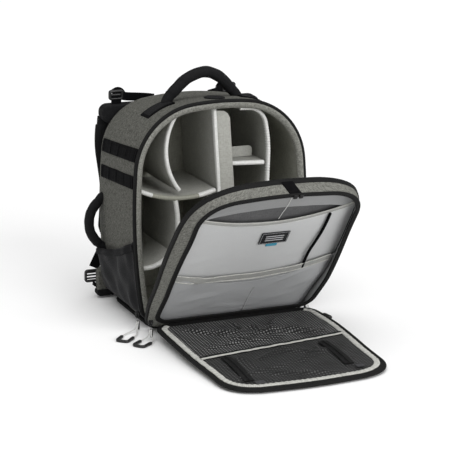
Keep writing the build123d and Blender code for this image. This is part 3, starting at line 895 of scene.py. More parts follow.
def rounded(corners, radii, count=48):
    """Even points along straight runs joined by arcs (given as x, y pairs)."""
    points = [Vector(corner) for corner in corners]
    path = [Vector((*points[0], 0))]
    for before, corner, after, radius in zip(points, points[1:], points[2:], radii):
        into, away = (corner - before).normalized(), (after - corner).normalized()
        half_turn = into.angle(away) / 2
        tangent = radius * math.tan(half_turn)
        start = corner - into * tangent
        inward = (away - into).normalized()
        centre = corner + inward * (radius / math.cos(half_turn))
        first = bearing(start - centre)
        turn = 2 * half_turn * (1 if into.x * away.y - into.y * away.x > 0 else -1)
        for step in range(13):
            angle = first + turn * step / 12
            path.append(Vector((centre.x + radius * math.cos(angle), centre.y + radius * math.sin(angle), 0)))
    path.append(Vector((*points[-1], 0)))
    return [Vector((p.x, p.y)) for p in resample(path, running(path)[-1] / count)]


partition("divider_centre_pad", straight((-9, 417), (2, 250), (4, 1)), hold="z", cloth=brushed, sag=0.8)
front_outline = [Vector(p) for p in ((32, 62), (31, 150), (30, 250), (25.5, 320), (21, 388), (17, 396),
                                     (10, 401.5),
                                     (0, 402.5), (-9.5, 403), (-8, 380), (-5, 320), (-1, 250), (0, 150),
                                     (1, 62))]
front_face = slab("divider_centre_front", Plane(mouth_y + 14, floor_height, 0), front_outline, 0.0, 4.2,
                  edge=1.4,
                  dome=0.8)
keep(front_face, "shell", brushed, ["divider_centre"])
front_edge = sweep("divider_centre_front_edge",
                   spline([Vector((x, mouth_y + 9.6, z + floor_height))
                           for x, z in ((-10.5, 404), (-7, 340), (-2, 250), (0, 150), (1, 62))], 60),
                   oval(3.3, 2.2, 12), Vector((0, -1, 0)))
keep(front_edge, "shell", bright_binding)

right_edge = rounded([(44, 403), (94, 401), (105, 330), (98, 150)], [38, 260], 90)
right_pad = partition("divider_right_pad", right_edge, thickness=6, hold="z", ripple=0.28,
                      trim=bright_binding)
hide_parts("divider_right")
left_pad = partition("divider_left_pad", arc_through((-82, 404), (-106, 335), (-80, 254), 60), thickness=6,
                     hold="z")
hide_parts("divider_left")
left_shelf = partition("shelf_left_pad", arc_through((-176, 268), (-92, 239), (-6.5, 248), 60),
                       trims=[(0.0, 0.26, bright_binding), (0.26, 0.8, green_binding),
                              (0.8, 1.0, bright_binding)],
                       ripple=0.15)
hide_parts("shelf_left")
right_shelf = partition("shelf_right_pad", straight((8, 297), (96, 293)), front=18, hold="none")
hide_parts("shelf_right")
tab_outline = [Vector((x, z)) for x, z in ((32, 299), (88, 299), (88, 314), (85, 318.5), (80, 320), (40, 320),
                                           (34, 318.5), (32, 314))]
upright = slab("shelf_right_tab", Plane(mouth_y + 60, floor_height, 0), tab_outline, -3.0, 0.0, edge=1.0)
keep(upright, "shell", brushed)
low_pad = partition("divider_lower_left_pad", arc_through((-88, 235), (-83, 190), (-92, 120), 50),
                    hold="none")
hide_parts("divider_lower_left")
low_shelf = partition("shelf_lower_left_pad", arc_through((-178, 114), (-136, 108), (-97, 134), 50))
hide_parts("shelf_lower_left")


# ---------------------------------------------------------------- webbing and patch on the shell
def strip_on_side(name, side, z_middle, slope, y_from, y_to, width=25.0, lift=1.8):
    """Flat webbing lying on the shell's side, sloping down towards the back."""
    rows = []
    for step in range(41):
        y = y_from + (y_to - y_from) * step / 40
        z = z_middle - (y - (y_from + y_to) / 2) * math.tan(math.radians(slope))
        row = []
        heights = [z - width / 2 + width * part / 8 for part in range(9)]
        for height in heights:
            near = min(height - heights[0], heights[-1] - height)
            out = lift * (0.55 + 0.45 * ramp(near, 0, 2.0)) + 0.25 * math.sin(step * 1.9)
            row.append(Vector((side * (hull_half_width(y, height, -1.2) + out - 0.4), y, height)))
        row += [Vector((side * hull_half_width(y, height, 0.6), y, height)) for height in reversed(heights)]
        rows.append(row)
    return skin(name, rows, loop_columns=True, caps=True, sharp=70)


def bar_tack(name, side, y, z_low, z_high, lift=3.2):
    """A dense raised row of stitches across webbing on the shell's side."""
    path = [Vector((side * (hull_half_width(y, z, -1.2) + lift - 1.6), y, z))
            for z in [mix(z_low, z_high, step / 36) for step in range(37)]]
    return sweep(name, path, oval(1.3, 0.75, 8), Vector((side, 0, 0)),
                 scale=lambda index: (1.0, 0.7 + 0.3 * (index % 2)))


for side, word in ((-1, "left"), (1, "right")):
    for row, height in enumerate((331.0, 280.0), 1):
        strip = strip_on_side(f"side_webbing_{word}_{row}", side, height, 4.0, mouth_y + 7, mouth_y + 191)
        keep(strip, "shell", web_black, ["side_webbing"])
        for number, y in enumerate((-92, -50, -8, 34, 74), 1):
            z = height - (y + 8.5) * math.tan(math.radians(4.0))
            tack = bar_tack(f"side_webbing_{word}_{row}_tack_{number}", side, y, z - 11, z + 11)
            keep(tack, "shell", web_black)


def strip_on_top(name, x_from, x_to, y, width, lift=1.8):
    """Flat webbing lying across the shell's crown."""
    rows = []
    for step in range(61):
        share = step / 60
        row = []
        places = [y - width / 2 + width * part / 8 for part in range(9)]
        for across in places:
            x = x_from + (x_to - x_from) * share
            row.append(Vector((x, across, hull_top(x, across, -1.0) + lift)))
        under = [Vector((p.x, p.y, hull_top(p.x, p.y, 0.6))) for p in reversed(row)]
        rows.append(row + under)
    return skin(name, rows, loop_columns=True, caps=True, sharp=70)


handle_y = mouth_y + 80
patch_y = handle_y - 10
for number, (x_from, x_to) in enumerate(((-130, -76), (62, 106)), 1):
    foot_patch = strip_on_top(f"handle_patch_{number}", x_from, x_to, patch_y, 44.0)
    keep(foot_patch, "shell", web_black, ["handle_strip"])
    inner_row = strip_on_top(f"handle_patch_{number}_fold", x_from + 4, x_to - 4, patch_y, 34.0, lift=2.5)
    keep(inner_row, "shell", black_pad)

patch_rows = []
for share in (0.02, 0.3, 0.6, 0.8, 0.93, 1.0, 1.0, 0.6, 0.02):
    row = []
    for step in range(36):
        angle = 2 * math.pi * step / 36
        x, y = 3 + 19 * share * math.cos(angle), mouth_y + 44 + 27 * share * math.sin(angle)
        raised = 1.7 if len(patch_rows) < 5 else (0.9 if len(patch_rows) == 5 else -0.8)
        row.append(Vector((x, y, hull_top(x, y, -0.9) + raised)))
    patch_rows.append(row)
patch = skin("port_patch_cover", patch_rows, loop_columns=True, caps=True, sharp=60)
keep(patch, "shell", black_pad, ["port_patch"])


# ---------------------------------------------------------------- stretch side pockets
pocket_front = mouth_y + 8
pocket_length = 190.0


def pocket_top(along):
    """The height of a side pocket's sagging hem, from the mouth's side to the back."""
    return 172.0 - 56.0 * along - 9.0 * math.sin(math.pi * along**0.8)


def pocket_slack(along, up):
    """How far a side pocket stands off the shell: fullest at its upper rear corner."""
    open_ends = ramp(along, 0.0, 0.14) * (1 - ramp(along, 0.955, 1.0)**2)
    return open_ends * (1 - (1 - ramp(up, -0.04, 0.36))**2) * (9.0 + 6.5 * ramp(along, 0.45, 0.9) * ramp(up,
                                                                                                         0.1,
                                                                                                         0.6))


for side, word in ((-1, "left"), (1, "right")):
    rows = []
    hem_line = []
    for step in range(45):
        along = step / 44
        y = pocket_front + pocket_length * along
        top = pocket_top(along)
        heights = [mix(16.0, top, part / 30) for part in range(31)]
        outer, inner = [], []
        for part, z in enumerate(heights):
            up = part / 30
            slack = pocket_slack(along, up)
            fold = 2.6 * math.sin(along * 13 + up * 5.5) * ramp(up, 0.1, 0.5) * (1 - 0.6 * ramp(up, 0.8, 1.0))
            fold += 1.8 * math.sin(along * 22 - up * 9 + 1)
            place = Vector((0, y, z))
            off = max(1.6, slack + (fold * 0.75 + rumple(place, 40, 1.2, 2.0)) * min(1.0, slack / 8))
            hem = 0.9 * ramp(up, 0.925, 0.94) - 0.9 * ramp(up, 0.985, 1.0)
            outer.append(Vector((side * (hull_half_width(y, z, 0) + min(17.5, off + hem)), y, z)))
            inner.append(Vector((side * (hull_half_width(y, z, 0) + max(0.3, off - 1.6)), y, z)))
        rows.append(outer + list(reversed(inner)))
        hem_line.append(outer[-3] + Vector((side * 0.4, 0, 0)))
    hem_band = sweep(f"side_pocket_{word}_hem", hem_line, oval(6.2, 2.0, 14, 2.6), Vector((side, 0, 0)))
    keep(hem_band, "shell", black_pad)
    pocket = skin(f"side_pocket_{word}_cloth", rows, loop_columns=True, caps=True, sharp=70)
    keep(pocket, "shell", stretch_black, [f"side_pocket_{word}"])


# ---------------------------------------------------------------- harness on the back
class Behind:
    """The back panel's plane with its normal turned to the back."""
    origin = back.origin
    up = back.up
    out = -back.out

    @staticmethod
    def at(x, up, out=0.0):
        return back.at(x, up, -out)


for number, (centre, half_x, half_y, corner) in enumerate((((-52, 235), 31, 90, 24), ((52, 235), 31, 90, 24),
                                                            ((0, 82), 105, 39, 28)), 1):
    pad = slab(f"back_pad_{number}", Behind, rounded_box_outline(half_x, half_y, corner, 10, centre), 13.6,
               26.0,
               edge=5.0, dome=1.6)
    keep(pad, "shell", black_pad, ["back_pads"])
yoke = slab("harness_yoke", Behind, rounded_box_outline(168, 17, 15, 8, (0, 371.5)), 13.8, 43.0, edge=4.0,
            dome=1.0)
keep(yoke, "shell", black_pad, ["strap_yoke"])

lumbar = slab("lumbar_block", Behind, rounded_box_outline(178, 27, 11, 8, (0, 27)), 13.0, 31.5, edge=5.0,
              dome=0.8)
keep(lumbar, "shell", heather)
lumbar_foot = slab("lumbar_foot", Behind, rounded_box_outline(179.5, 7, 6, 8, (0, 2.5)), 12.4, 32.6, edge=3.0)
keep(lumbar_foot, "shell", black_pad)

strap_offset = 31.0
strap_middle = strap_offset + 6
for side, word in ((-1, "left"), (1, "right")):
    body = f"shoulder_strap_{word}"
    curve = rounded([(140, 390), (147, 310), (133, 215), (140, 118)], [200, 300], 70)
    path = [Behind.at(side * p.x, min(p.y, 352.0), strap_middle) for p in curve if p.y < 355]
    root = sweep(f"shoulder_strap_{word}_root", [Behind.at(side * x, up, strap_middle) for x, up in
                                                 ((140.6, 362), (140.9, 358), (141.2, 354), (141.5, 350),
                                                  (141.8, 344))],
                 oval(30, 6.2, 28, 3.6), Behind.out)
    keep(root, ("shell", body, tuple(Behind.at(side * 140, 357, strap_middle) * MM),
                tuple(Behind.at(side * 141, 350, strap_middle) * MM)), black_pad)
    last = len(path) - 1

    def strap_scale(index, last=last):
        end = min(1.0, 0.55 + 0.45 * ramp(index, 0, 2)) * (0.82 + 0.18 * ramp(last - index, 0, 5))
        return end, min(end, 1.0)
    strap = sweep(f"shoulder_strap_{word}_pad", path, oval(30, 6.0, 28, 3.6), Behind.out, scale=strap_scale)
    keep(strap, body, black_pad, [f"shoulder_strap_{word}"])
    for number, edge in enumerate((-1, 1), 1):
        line = [point + turn[1] * 29.0 * edge * strap_scale(i)[0]
                for i, (point, turn) in enumerate(zip(path, frames(path, Behind.out)))]
        trim = sweep(f"shoulder_strap_{word}_binding_{number}", line[1:-1], oval(1.8, 3.6, 10, 2.6),
                     Behind.out)
        keep(trim, body, tape_black)
    sling = [Behind.at(side * p.x, p.y, strap_offset + 12.6) for p in curve if 128 < p.y < 330]
    webbed = sweep(f"shoulder_strap_{word}_webbing", sling, oval(11, 1.0, 10, 4), Behind.out)
    keep(webbed, body, web_black)

    lock_x, lock_height = side * 182, 33.0
    drop = [Behind.at(side * x, up, out) for x, up,
            out in ((136, 132, 42), (148, 107, 40), (165, 78, 38), (179, 50, 37))]
    hanging = sweep(f"shoulder_strap_{word}_lower_webbing", spline(drop, 20), oval(11, 1.0, 12, 4.5),
                    Behind.out)
    keep(hanging, body, web_black)
    frame_path = [Behind.at(lock_x + p.x, lock_height + p.y, strap_offset + 5.5)
                  for p in rounded_box_outline(14.5, 11, 4, 5)]
    lock = sweep(f"ladder_lock_{word}_frame", frame_path, oval(2.5, 3.3, 10, 3.2), Behind.out, loop=True)
    keep(lock, body, plastic_black, [f"ladder_lock_{word}"])
    for number, rise in enumerate((-5.0, 1.5, 7.5), 1):
        bar_line = [Behind.at(lock_x + dx, lock_height + rise, strap_offset + 5.5) for dx in (-13.5, -6, 0, 6,
                                                                                              13.5)]
        bar = sweep(f"ladder_lock_{word}_bar_{number}", bar_line, oval(1.7, 2.2, 8, 2.6), Behind.out)
        keep(bar, body, plastic_black)

    tail_route = ((182, 18.5, 34), (177, 14.5, 32), (168, 12.5, 28), (155, 12, 22), (140, 12, 15.5))
    tail = sweep(f"strap_tail_{word}_webbing",
                 spline([Behind.at(side * x, up, out) for x, up, out in tail_route], 28),
                 oval(11, 1.0, 12, 4.5), Behind.up)
    keep(tail, "shell", web_black, [f"strap_tail_{word}"])
    lifter_x = side * (134 if side < 0 else 106)
    lifter_route = ((side * 58, 397, 22), (side * 76, 399, 27), (lifter_x - side * 22, 402, 30),
                    (lifter_x - side * 8, 405, 30))
    lifter = sweep(f"load_lifter_{word}_webbing", spline([Behind.at(*place) for place in lifter_route], 16),
                   oval(8.5, 1.2, 12, 4.5), Behind.out)
    keep(lifter, "shell", web_black, ["load_lifters"])
    riser_line = spline([Behind.at(lifter_x, up, out) for up,
                         out in ((382, 28.5), (389, 30), (396, 30), (403, 30))], 10)
    riser = sweep(f"load_lifter_{word}_riser", riser_line, oval(10.5, 1.3, 12, 4.5), Behind.out)
    keep(riser, "shell", web_black)
    buckle_path = [Behind.at(lifter_x + p.x, 406.0 + p.y, 32) for p in rounded_box_outline(12.5, 7.5, 2.5, 4)]
    buckle = sweep(f"load_lifter_{word}_buckle", buckle_path, oval(2.8, 3.8, 8, 3), Behind.out, loop=True)
    keep(buckle, "shell", plastic_black)
    bar_line = [Behind.at(lifter_x + dx, 406.0, 32) for dx in (-11.5, -3, 3, 11.5)]
    buckle_bar = sweep(f"load_lifter_{word}_buckle_bar", bar_line, oval(3.4, 2.6, 8), Behind.out)
    keep(buckle_bar, "shell", plastic_black)
    loose_end = spline([Behind.at(lifter_x - side * dx, up, out) for dx, up, out in
                        ((-6, 408, 35), (4, 412, 38), (12, 409, 42), (17, 402, 43))], 14)
    loose = sweep(f"load_lifter_{word}_end", loose_end, oval(8.5, 1.0, 12, 4.5), Behind.out)
    keep(loose, "shell", web_black)


# ---------------------------------------------------------------- carry handles
def handle(name, body, node, path, normal, wide, high):
    """A padded handle: an even tube with pinched ends, and a stitched seam along its underside."""
    last = len(path) - 1

    def scale(index):
        near = min(index, last - index) / last
        end = 0.74 + 0.26 * ramp(near, 0.0, 0.09)
        return end, end * (1.0 + 0.02 * math.sin(index * 0.9))
    grip_pad = sweep(name, path, oval(wide, high, 20, 2.3), normal, scale=scale)
    keep(grip_pad, body, black_pad, [node])
    turned = frames(path, normal)
    seam_line = [p - t[2] * high * scale(i)[1] * 0.97 for i, (p, t) in enumerate(zip(path, turned))]
    seam = sweep(f"{name}_seam", seam_line[2:-2], oval(1.3, 0.9, 6), normal)
    keep(seam, body, tape_black)


TOP_HANDLE = [(-75, 432.5), (-64, 443), (-39, 464), (-4, 475), (25, 465.5), (46, 445), (56.5, 433.5)]
top_path = spline([Vector((x, handle_y, z)) for x, z in TOP_HANDLE], 57)
handle("top_handle_pad", "top_handle", "top_handle", top_path,
       lambda i: (top_path[i] - Vector((-9, handle_y, 390))),
       10.8, 10.8)
SIDE_HANDLE = [(-183, 214), (-194, 202), (-202.5, 187), (-205.5, 169), (-203, 150), (-194, 134), (-184, 123)]
side_y = mouth_y + 191
side_path = spline([Vector((x, side_y, z)) for x, z in SIDE_HANDLE], 49)
handle("side_handle_pad", "side_handle", "side_handle", side_path, Vector((-1, 0, 0)), 10.0, 9.5)


def foot(name, body, start, end, sink, normal, wide, high):
    """The soft end of a handle: a tapering tube that bends between the shell and the handle."""
    reach = [start + (start - end).normalized() * 5.0, start, mix(start, end, 0.5), end, end + sink]
    tube = sweep(name, spline(reach, 21), oval(wide, high, 20, 2.3), normal,
                 scale=lambda i: (1.0 - 0.06 * ramp(i, 0, 6), 1.0 - 0.22 * ramp(i, 8, 20)))
    keep(tube, ("shell", body, tuple(end * MM), tuple(start * MM)), black_pad)


for number, (x, z, lean) in enumerate(((-75, 432.5, -1), (56.5, 433.5, 1)), 1):
    foot(f"top_handle_foot_{number}", "top_handle", Vector((x, handle_y, z)),
         Vector((x + 8 * lean, handle_y, hull_top(x + 8 * lean, handle_y) + 2)), Vector((2 * lean, 0, -5)),
         Vector((lean, 0, 0.4)), 10.2, 10.2)
for number, (z, lean) in enumerate(((214, 1), (123, -1)), 1):
    foot(f"side_handle_foot_{number}", "side_handle", Vector((-183.5, side_y, z)),
         Vector((-hull_half_width(side_y, z + 7 * lean) - 2, side_y - 3, z + 7 * lean)),
         Vector((5, -2, 2 * lean)),
         Vector((-1, 0, 0)), 9.2, 8.6)


# ---------------------------------------------------------------- lid
def gusset_band(name, outer, inner, soft, seed, rows=16):
    """A closed band of the lid's gusset between two insets, from its outer edge to the pocket's rim."""
    def layer(inset, side):
        made = []
        for step in range(rows):
            share = step / (rows - 1)
            row = []
            for a, b, c, d in zip(arch(MOUTH, inset), arch(POCKET, inset), arch(MOUTH, inset - 1),
                                  arch(POCKET, inset - 1)):
                place = mix(lid.at(a.x, a.y, gusset_low), rim.at(b.x, b.y, gusset_high), share)
                next_out = mix(lid.at(c.x, c.y, gusset_low), rim.at(d.x, d.y, gusset_high), share)
                push = side * math.sin(math.pi * share) * (
                    soft * 0.6 + rumple(place, 36, soft, seed) + rumple(place, 12, soft * 0.25, seed))
                row.append(place + (next_out - place) * push)
            made.append(row)
        return made
    outside, inside = layer(outer, 1.0), layer(inner, -1.0)
    return skin(name, outside + list(reversed(inside)), loop_rows=True, loop_columns=True)


gusset = gusset_band("lid_gusset_cover", 0.0, 2.4, 1.0, 4.0)
keep(gusset, "lid", lid_heather, ["lid_gusset"])
gusset_lining = gusset_band("lid_gusset_lining", 2.5, 5.0, 0.9, 12.0)
keep(gusset_lining, "lid", silver)

# The padded wall takes the dark recess colour: painted shade behind the sleeve's opening.
lid_face = panel("lid_padded_wall", lid, arch(MOUTH, 0.6),
                 lambda i, s, x, up: 8.4 - 1.6 * ramp(s, 0.97, 1.0) + rumple(Vector((x, 0, up)), 70, 0.5,
                                                                             6.0),
                 base=3.8)
keep(lid_face, "lid", recess_painted_shade, ["lid_panel"])
lid_back = panel("lid_back_lining", lid, arch(MOUTH, 5.2),
                 lambda i, s, x, up: 1.6 + 1.2 * ramp(s, 0.95, 1.0) + rumple(Vector((x, 40, up)), 60, 0.3,
                                                                             2.0),
                 base=3.7)
keep(lid_back, "lid", wall_lining)

edge_tape = arch_ring("lid_edge_tape", lid, MOUTH, 2.6, 1.3,
                      [(-2.9, 3.0), (-2.9, 0.4), (-2.2, 0.0), (2.0, 0.0),
                                                             (2.6, 0.6), (2.7, 3.1)])
keep(edge_tape, "lid", tape_black, ["lid_zipper_tape"])
lid_coil = coil("lid_zipper_coil", part_above([lid.at(p.x, p.y, 1.9) for p in arch(MOUTH, 2.4)], 34),
                -lid.out,
                radius=0.5)
keep(lid_coil, "lid", tape_black)
edge_band = arch_ring("lid_edge_band", lid, MOUTH, 0.2, 6.0,
                      [(-1.6, -4.4), (1.0, -4.8), (2.2, -3.4), (1.7, 0.0), (1.9, 3.0), (1.2, 5.0), (0.4, 6.0),
                       (-1.6, 6.4)])
keep(edge_band, "lid", tape_black)

rim_tape = arch_ring("pocket_zipper_tape_band", rim, POCKET, 3.6, -1.6,
                     [(-3.8, -1.3), (-3.9, 0.4), (-3.2, 1.1), (2.4, 1.4), (3.4, 0.6), (3.4, -1.3)])
keep(rim_tape, "lid", tape_black, ["pocket_zipper_tape"])
rim_bead = arch_ring("pocket_rim_bead", rim, POCKET, -0.1, -1.8, oval(2.1, 2.1, 12))
keep(rim_bead, "lid", tape_black, ["pocket_rim_piping"])
rim_coil = coil("pocket_zipper_coil", part_above([rim.at(p.x, p.y, -1.1) for p in arch(POCKET, 3.6)], 42),
                rim.out,
                radius=0.7)
keep(rim_coil, "lid", tape_black)


def cut_outline(shape, inset, low, top_points):
    """An arch's outline cut off below a height and above an arc; also tells which points lie on the arc."""
    top = arc_through(*top_points, 60)

    def top_at(x):
        for a, b in zip(top, top[1:]):
            if min(a.x, b.x) <= x <= max(a.x, b.x):
                return mix(a.y, b.y, (x - a.x) / (b.x - a.x))
        return top[0].y if x < top[0].x else top[-1].y
    found, free = [], []
    for p in arch(shape, inset):
        limit = top_at(p.x)
        found.append(Vector((p.x, max(low, min(limit, p.y)))))
        free.append(1.0 if p.y >= limit else 0.0)
    count = len(found)
    soft = [sum(free[(i + k) % count] for k in range(-3, 4)) / 7 for i in range(count)]
    return found, soft


def crease(x, up, x0, up0, angle, length, width, depth):
    """One soft wrinkle: a ridge along a direction from a place."""
    turn = math.radians(angle)
    a = (x - x0) * math.cos(turn) + (up - up0) * math.sin(turn)
    b = -(x - x0) * math.sin(turn) + (up - up0) * math.cos(turn)
    b += 3.0 * math.sin(a / 26.0)
    if a < -6 or a > length + 6:
        return 0.0
    fade = ramp(a, -6, 10) * (1 - ramp(a, length * 0.45, length))
    return depth * fade * math.exp(-(b / width)**2)


sleeve_outline, sleeve_free = cut_outline(MOUTH, 8.0, 26, ((-172, 361), (-4, 321), (172, 362)))
SLEEVE_CREASES = [(-150, 205, 22, 90, 3.2, 1.6), (-150, 222, 30, 70, 3.0, 1.1), (-140, 196, 8, 60, 2.6, 0.9),
                  (128, 214, 150, 60, 3.0, 1.2), (60, 204, 40, 55, 3.2, 0.9)]


def sleeve_surface(index, share, x, up):
    rise = 15.4 - 6.2 * ramp(share, 0.9, 1.0) * (1 - sleeve_free[index])
    rise += 1.0 * rumple(Vector((x, 0, up)), 90, 1.0, 7.0)
    rise += sum(crease(x, up, *fold) for fold in SLEEVE_CREASES)
    return rise


sleeve = panel("laptop_sleeve_cloth", lid, sleeve_outline, sleeve_surface, thickness=1.0,
               centre=Vector((0, 190)))
keep(sleeve, "lid", silver, ["laptop_sleeve"])
sleeve_hem_line = [lid.at(p.x, p.y - 3.6, 15.8) for p in arc_through((-166, 359), (-4, 321), (166, 360), 60)
                   if abs(p.x) < 152]
sleeve_hem = sweep("laptop_sleeve_hem", sleeve_hem_line, oval(4.2, 1.0, 12, 3.0), lid.out)
keep(sleeve_hem, "lid", pocket_hem)
sleeve_lip = sweep("laptop_sleeve_lip", [p + lid.up * 3.8 for p in sleeve_hem_line], oval(1.0, 0.9, 10),
                   lid.out)
keep(sleeve_lip, "lid", pale_binding)
stitch_line = [p - lid.up * 5.4 + lid.out * 0.7 for p in sleeve_hem_line]


def stitches(name, line, body, normal, pitch=3.4, wide=0.42, material=thread_white):
    """A row of lockstitches along a line."""
    even = resample(line, pitch / 4)
    turned = frames(even, normal)
    wavy = [p + t[2] * (0.22 if index % 4 in (1, 2) else -0.35) for index,
            (p, t) in enumerate(zip(even, turned))]
    row = sweep(name, wavy, oval(wide, wide, 5), normal, sharp=180)
    keep(row, body, material)


stitches("laptop_sleeve_stitch", stitch_line, "lid", lid.out)

lower_outline, lower_free = cut_outline(MOUTH, 9.0, 30, ((-166, 190), (18, 141), (166, 200)))
LOWER_CREASES = [(-160, 150, 18, 120, 3.6, 2.0), (-158, 132, 26, 90, 3.4, 1.6), (-150, 165, 4, 120, 2.8, 1.5),
                 (-120, 96, 12, 110, 4.5, 1.4), (-40, 74, -10, 120, 5.0, 1.2), (150, 170, 205, 120, 3.6, 1.9),
                 (146, 130, 215, 90, 4.2, 1.8), (120, 90, 200, 100, 4.6, 1.5), (-150, 60, 10, 90, 4.2, 1.2)]


def lower_surface(index, share, x, up):
    rise = 19.2 - 7.0 * ramp(share, 0.88, 1.0) * (1 - lower_free[index])
    rise += 1.4 * rumple(Vector((x, 0, up)), 60, 1.0, 17.0) + rumple(Vector((x, 5, up)), 22, 0.35, 3.0)
    rise += sum(crease(x, up, *fold) for fold in LOWER_CREASES)
    rise -= 1.5 * math.exp(-((x - 24) / 2.2)**2) * (1 - ramp(up, 108, 124))
    return rise


# The lower pocket uses the darker silver: painted shade.
lower = panel("lower_pocket_cloth", lid, lower_outline, lower_surface, thickness=1.0, centre=Vector((0, 100)))
keep(lower, "lid", silver_painted_shade_low, ["lower_pocket"])
hem_arc = [p for p in arc_through((-166, 190), (0, 168), (166, 206), 70) if abs(p.x) < 160]


def on_lower(p, lift):
    return lid.at(p.x, p.y, lower_surface(0, 0.5, p.x, p.y) + lift)


lower_band = sweep("lower_pocket_band", [on_lower(Vector((p.x, p.y - 9)), 0.3) for p in hem_arc],
                   oval(8.5, 0.8, 12, 3.2), lid.out)
keep(lower_band, "lid", pocket_hem)
for number, drop in enumerate((1.2, 17.5), 1):
    light = sweep(f"lower_pocket_edge_{number}", [on_lower(Vector((p.x, p.y - drop)), 1.0) for p in hem_arc],
                  oval(1.4, 0.9, 10), lid.out)
    keep(light, "lid", pale_binding)
seam_line = [on_lower(Vector((24 + 1.5 * math.sin(up / 30), up)), 1.2) for up in range(40, 122, 4)]
stitches("lower_pocket_seam", seam_line, "lid", lid.out, material=silver, wide=0.6)
thread_line = spline([lid.at(x, up, out) for x, up, out in ((12, 330, 17.0), (15, 346, 16.5), (20, 366, 15.6),
                                                            (24, 388, 12.6))], 30)
loose_thread = sweep("lining_seam_thread", thread_line, oval(0.55, 0.4, 6), lid.out)
keep(loose_thread, "lid", thread_white)

upper_edge = arc_through((-158, 334), (-6, 359.5), (158, 336), 60)


def upper_edge_at(x):
    return min(upper_edge, key=lambda p: abs(p.x - x)).y


upper_outline = [Vector((max(-157.0, min(157.0, p.x)), max(p.y, upper_edge_at(max(-157.0, min(157.0, p.x))))))
                 for p in arch(MOUTH, 6.5)]
# The upper lining uses the darkest silver: painted shade of the recess.
upper_lining = panel("lid_upper_lining", lid, upper_outline,
                     lambda i, s, x, up: 14.4 - 3.6 * ramp(up, 366, 412) + rumple(Vector((x, 60, up)), 50,
                                                                                  0.5, 3.0),
                     thickness=1.0, centre=Vector((0, 385)))
keep(upper_lining, "lid", silver_painted_shade_high)
label_middle = (27, 273)
label = slab("label_cloth", flat_lid, rounded_box_outline(28, 16.5, 1.5, 5, label_middle), 16.6, 18.2,
             edge=0.5)
keep(label, "lid", label_black, ["label_patch"])
border_line = [flat_lid.at(p.x, p.y, 18.2) for p in rounded_box_outline(26.2, 14.7, 1.2, 5, label_middle)]
label_border = sweep("label_border", border_line, oval(0.28, 0.25, 6), lid.out, loop=True)
keep(label_border, "lid", thread_grey)
for number, up in enumerate((279.0, 273.0, 267.0), 1):
    stripe = slab(f"label_stripe_{number}", flat_lid,
                  rounded_box_outline(18, 0.8, 0.6, 5, (label_middle[0], up)),
                  18.0, 18.6, edge=0.2)
    keep(stripe, "lid", thread_grey)
label_tab = slab("label_tab", flat_lid, rounded_box_outline(11, 4.5, 1.0, 4, (27, 252)), 16.4, 17.6, edge=0.4)
keep(label_tab, "lid", label_blue)

tab_rows = []
for step in range(13):
    share = step / 12
    row = []
    for layer in (2.2, 0.2):
        xs = [mix(-9, 13, part / 8) + 12 * share for part in range(9)]
        if layer < 1:
            xs.reverse()
        for x in xs:
            outer = min((abs(p.x - x), p.y) for p in arch(MOUTH, -layer)[60:118])[1]
            inner = min((abs(p.x - x), p.y) for p in arch(POCKET, -layer)[60:118])[1]
            row.append(mix(lid.at(x, outer, gusset_low), rim.at(x, inner, gusset_high), share))
    tab_rows.append(row)
pull_tab = skin("lid_top_tab", tab_rows, loop_columns=True, caps=True, sharp=70)
keep(pull_tab, "lid", web_black, ["lid_pull_tab"])
rim_top = max(p.y for p in arch(POCKET, 0))
for number, x in enumerate((14, 25), 1):
    puller = slab(f"pocket_top_slider_{number}", rim, rounded_box_outline(4.2, 5.0, 2, 5, (x, rim_top - 5.0)),
                  -0.5, 1.7,
                  edge=1.2)
    keep(puller, "lid", metal_black)


# ---------------------------------------------------------------- front panel of the lid, lying open
flap_body = panel("front_panel_cover", flap, arch(POCKET, 0.4),
                  lambda i, s, x, up: 4.9 - 2.2 * ramp(s, 0.97,
                                                       1.0) - 0.35 * abs(rumple(Vector((x, 0, up)), 40, 1.0)),
                  base=0.1)
keep(flap_body, "front_panel", flap_heather, ["flap_panel"])
flap_lining = panel("front_panel_lining", flap, arch(POCKET, 1.5), lambda i, s, x, up: 0.2, thickness=1.0)
keep(flap_lining, "front_panel", tape_black)
flap_bead = arch_ring("front_panel_bead", flap, POCKET, -0.3, 1.3, oval(2.2, 2.4, 12, 2.3))
keep(flap_bead, "front_panel", tape_black, ["flap_piping"])
flap_tape = arch_ring("front_panel_tape", flap, POCKET, 1.2, 0.4,
                      [(-1.8, -1.8), (-2.0, 0.4), (1.8, 0.6), (2.0, -1.0),
                                                                    (0.6, -1.9)])
keep(flap_tape, "front_panel", tape_black)


def trim_place(p):
    """A place of the binding: in from the panel's edge, farther in at its far end."""
    return Vector((p.x, p.y - 7.0 * ramp(p.y, 240, 350)))


trim_points = [trim_place(p) for p in arch(POCKET, 12.0) if p.y > 13]
trim_line = resample([flap.at(p.x, p.y, -1.3) for p in trim_points], 1.0)
trim_runs = running(trim_line)
flap_trim = sweep("front_panel_binding", trim_line, oval(5.4, 1.5, 14, 2.8), flap.out,
                  scale=lambda i: (0.98 + 0.16 * noise.noise(trim_line[i] / 9),
                                   1 + 0.34 * math.sin(trim_runs[i] * 0.64)))
keep(flap_trim, "front_panel", pale_binding, ["flap_binding"])


def split_at(x):
    """The height of the pale strip between the two mesh pockets."""
    return 177.0 - 0.127 * x


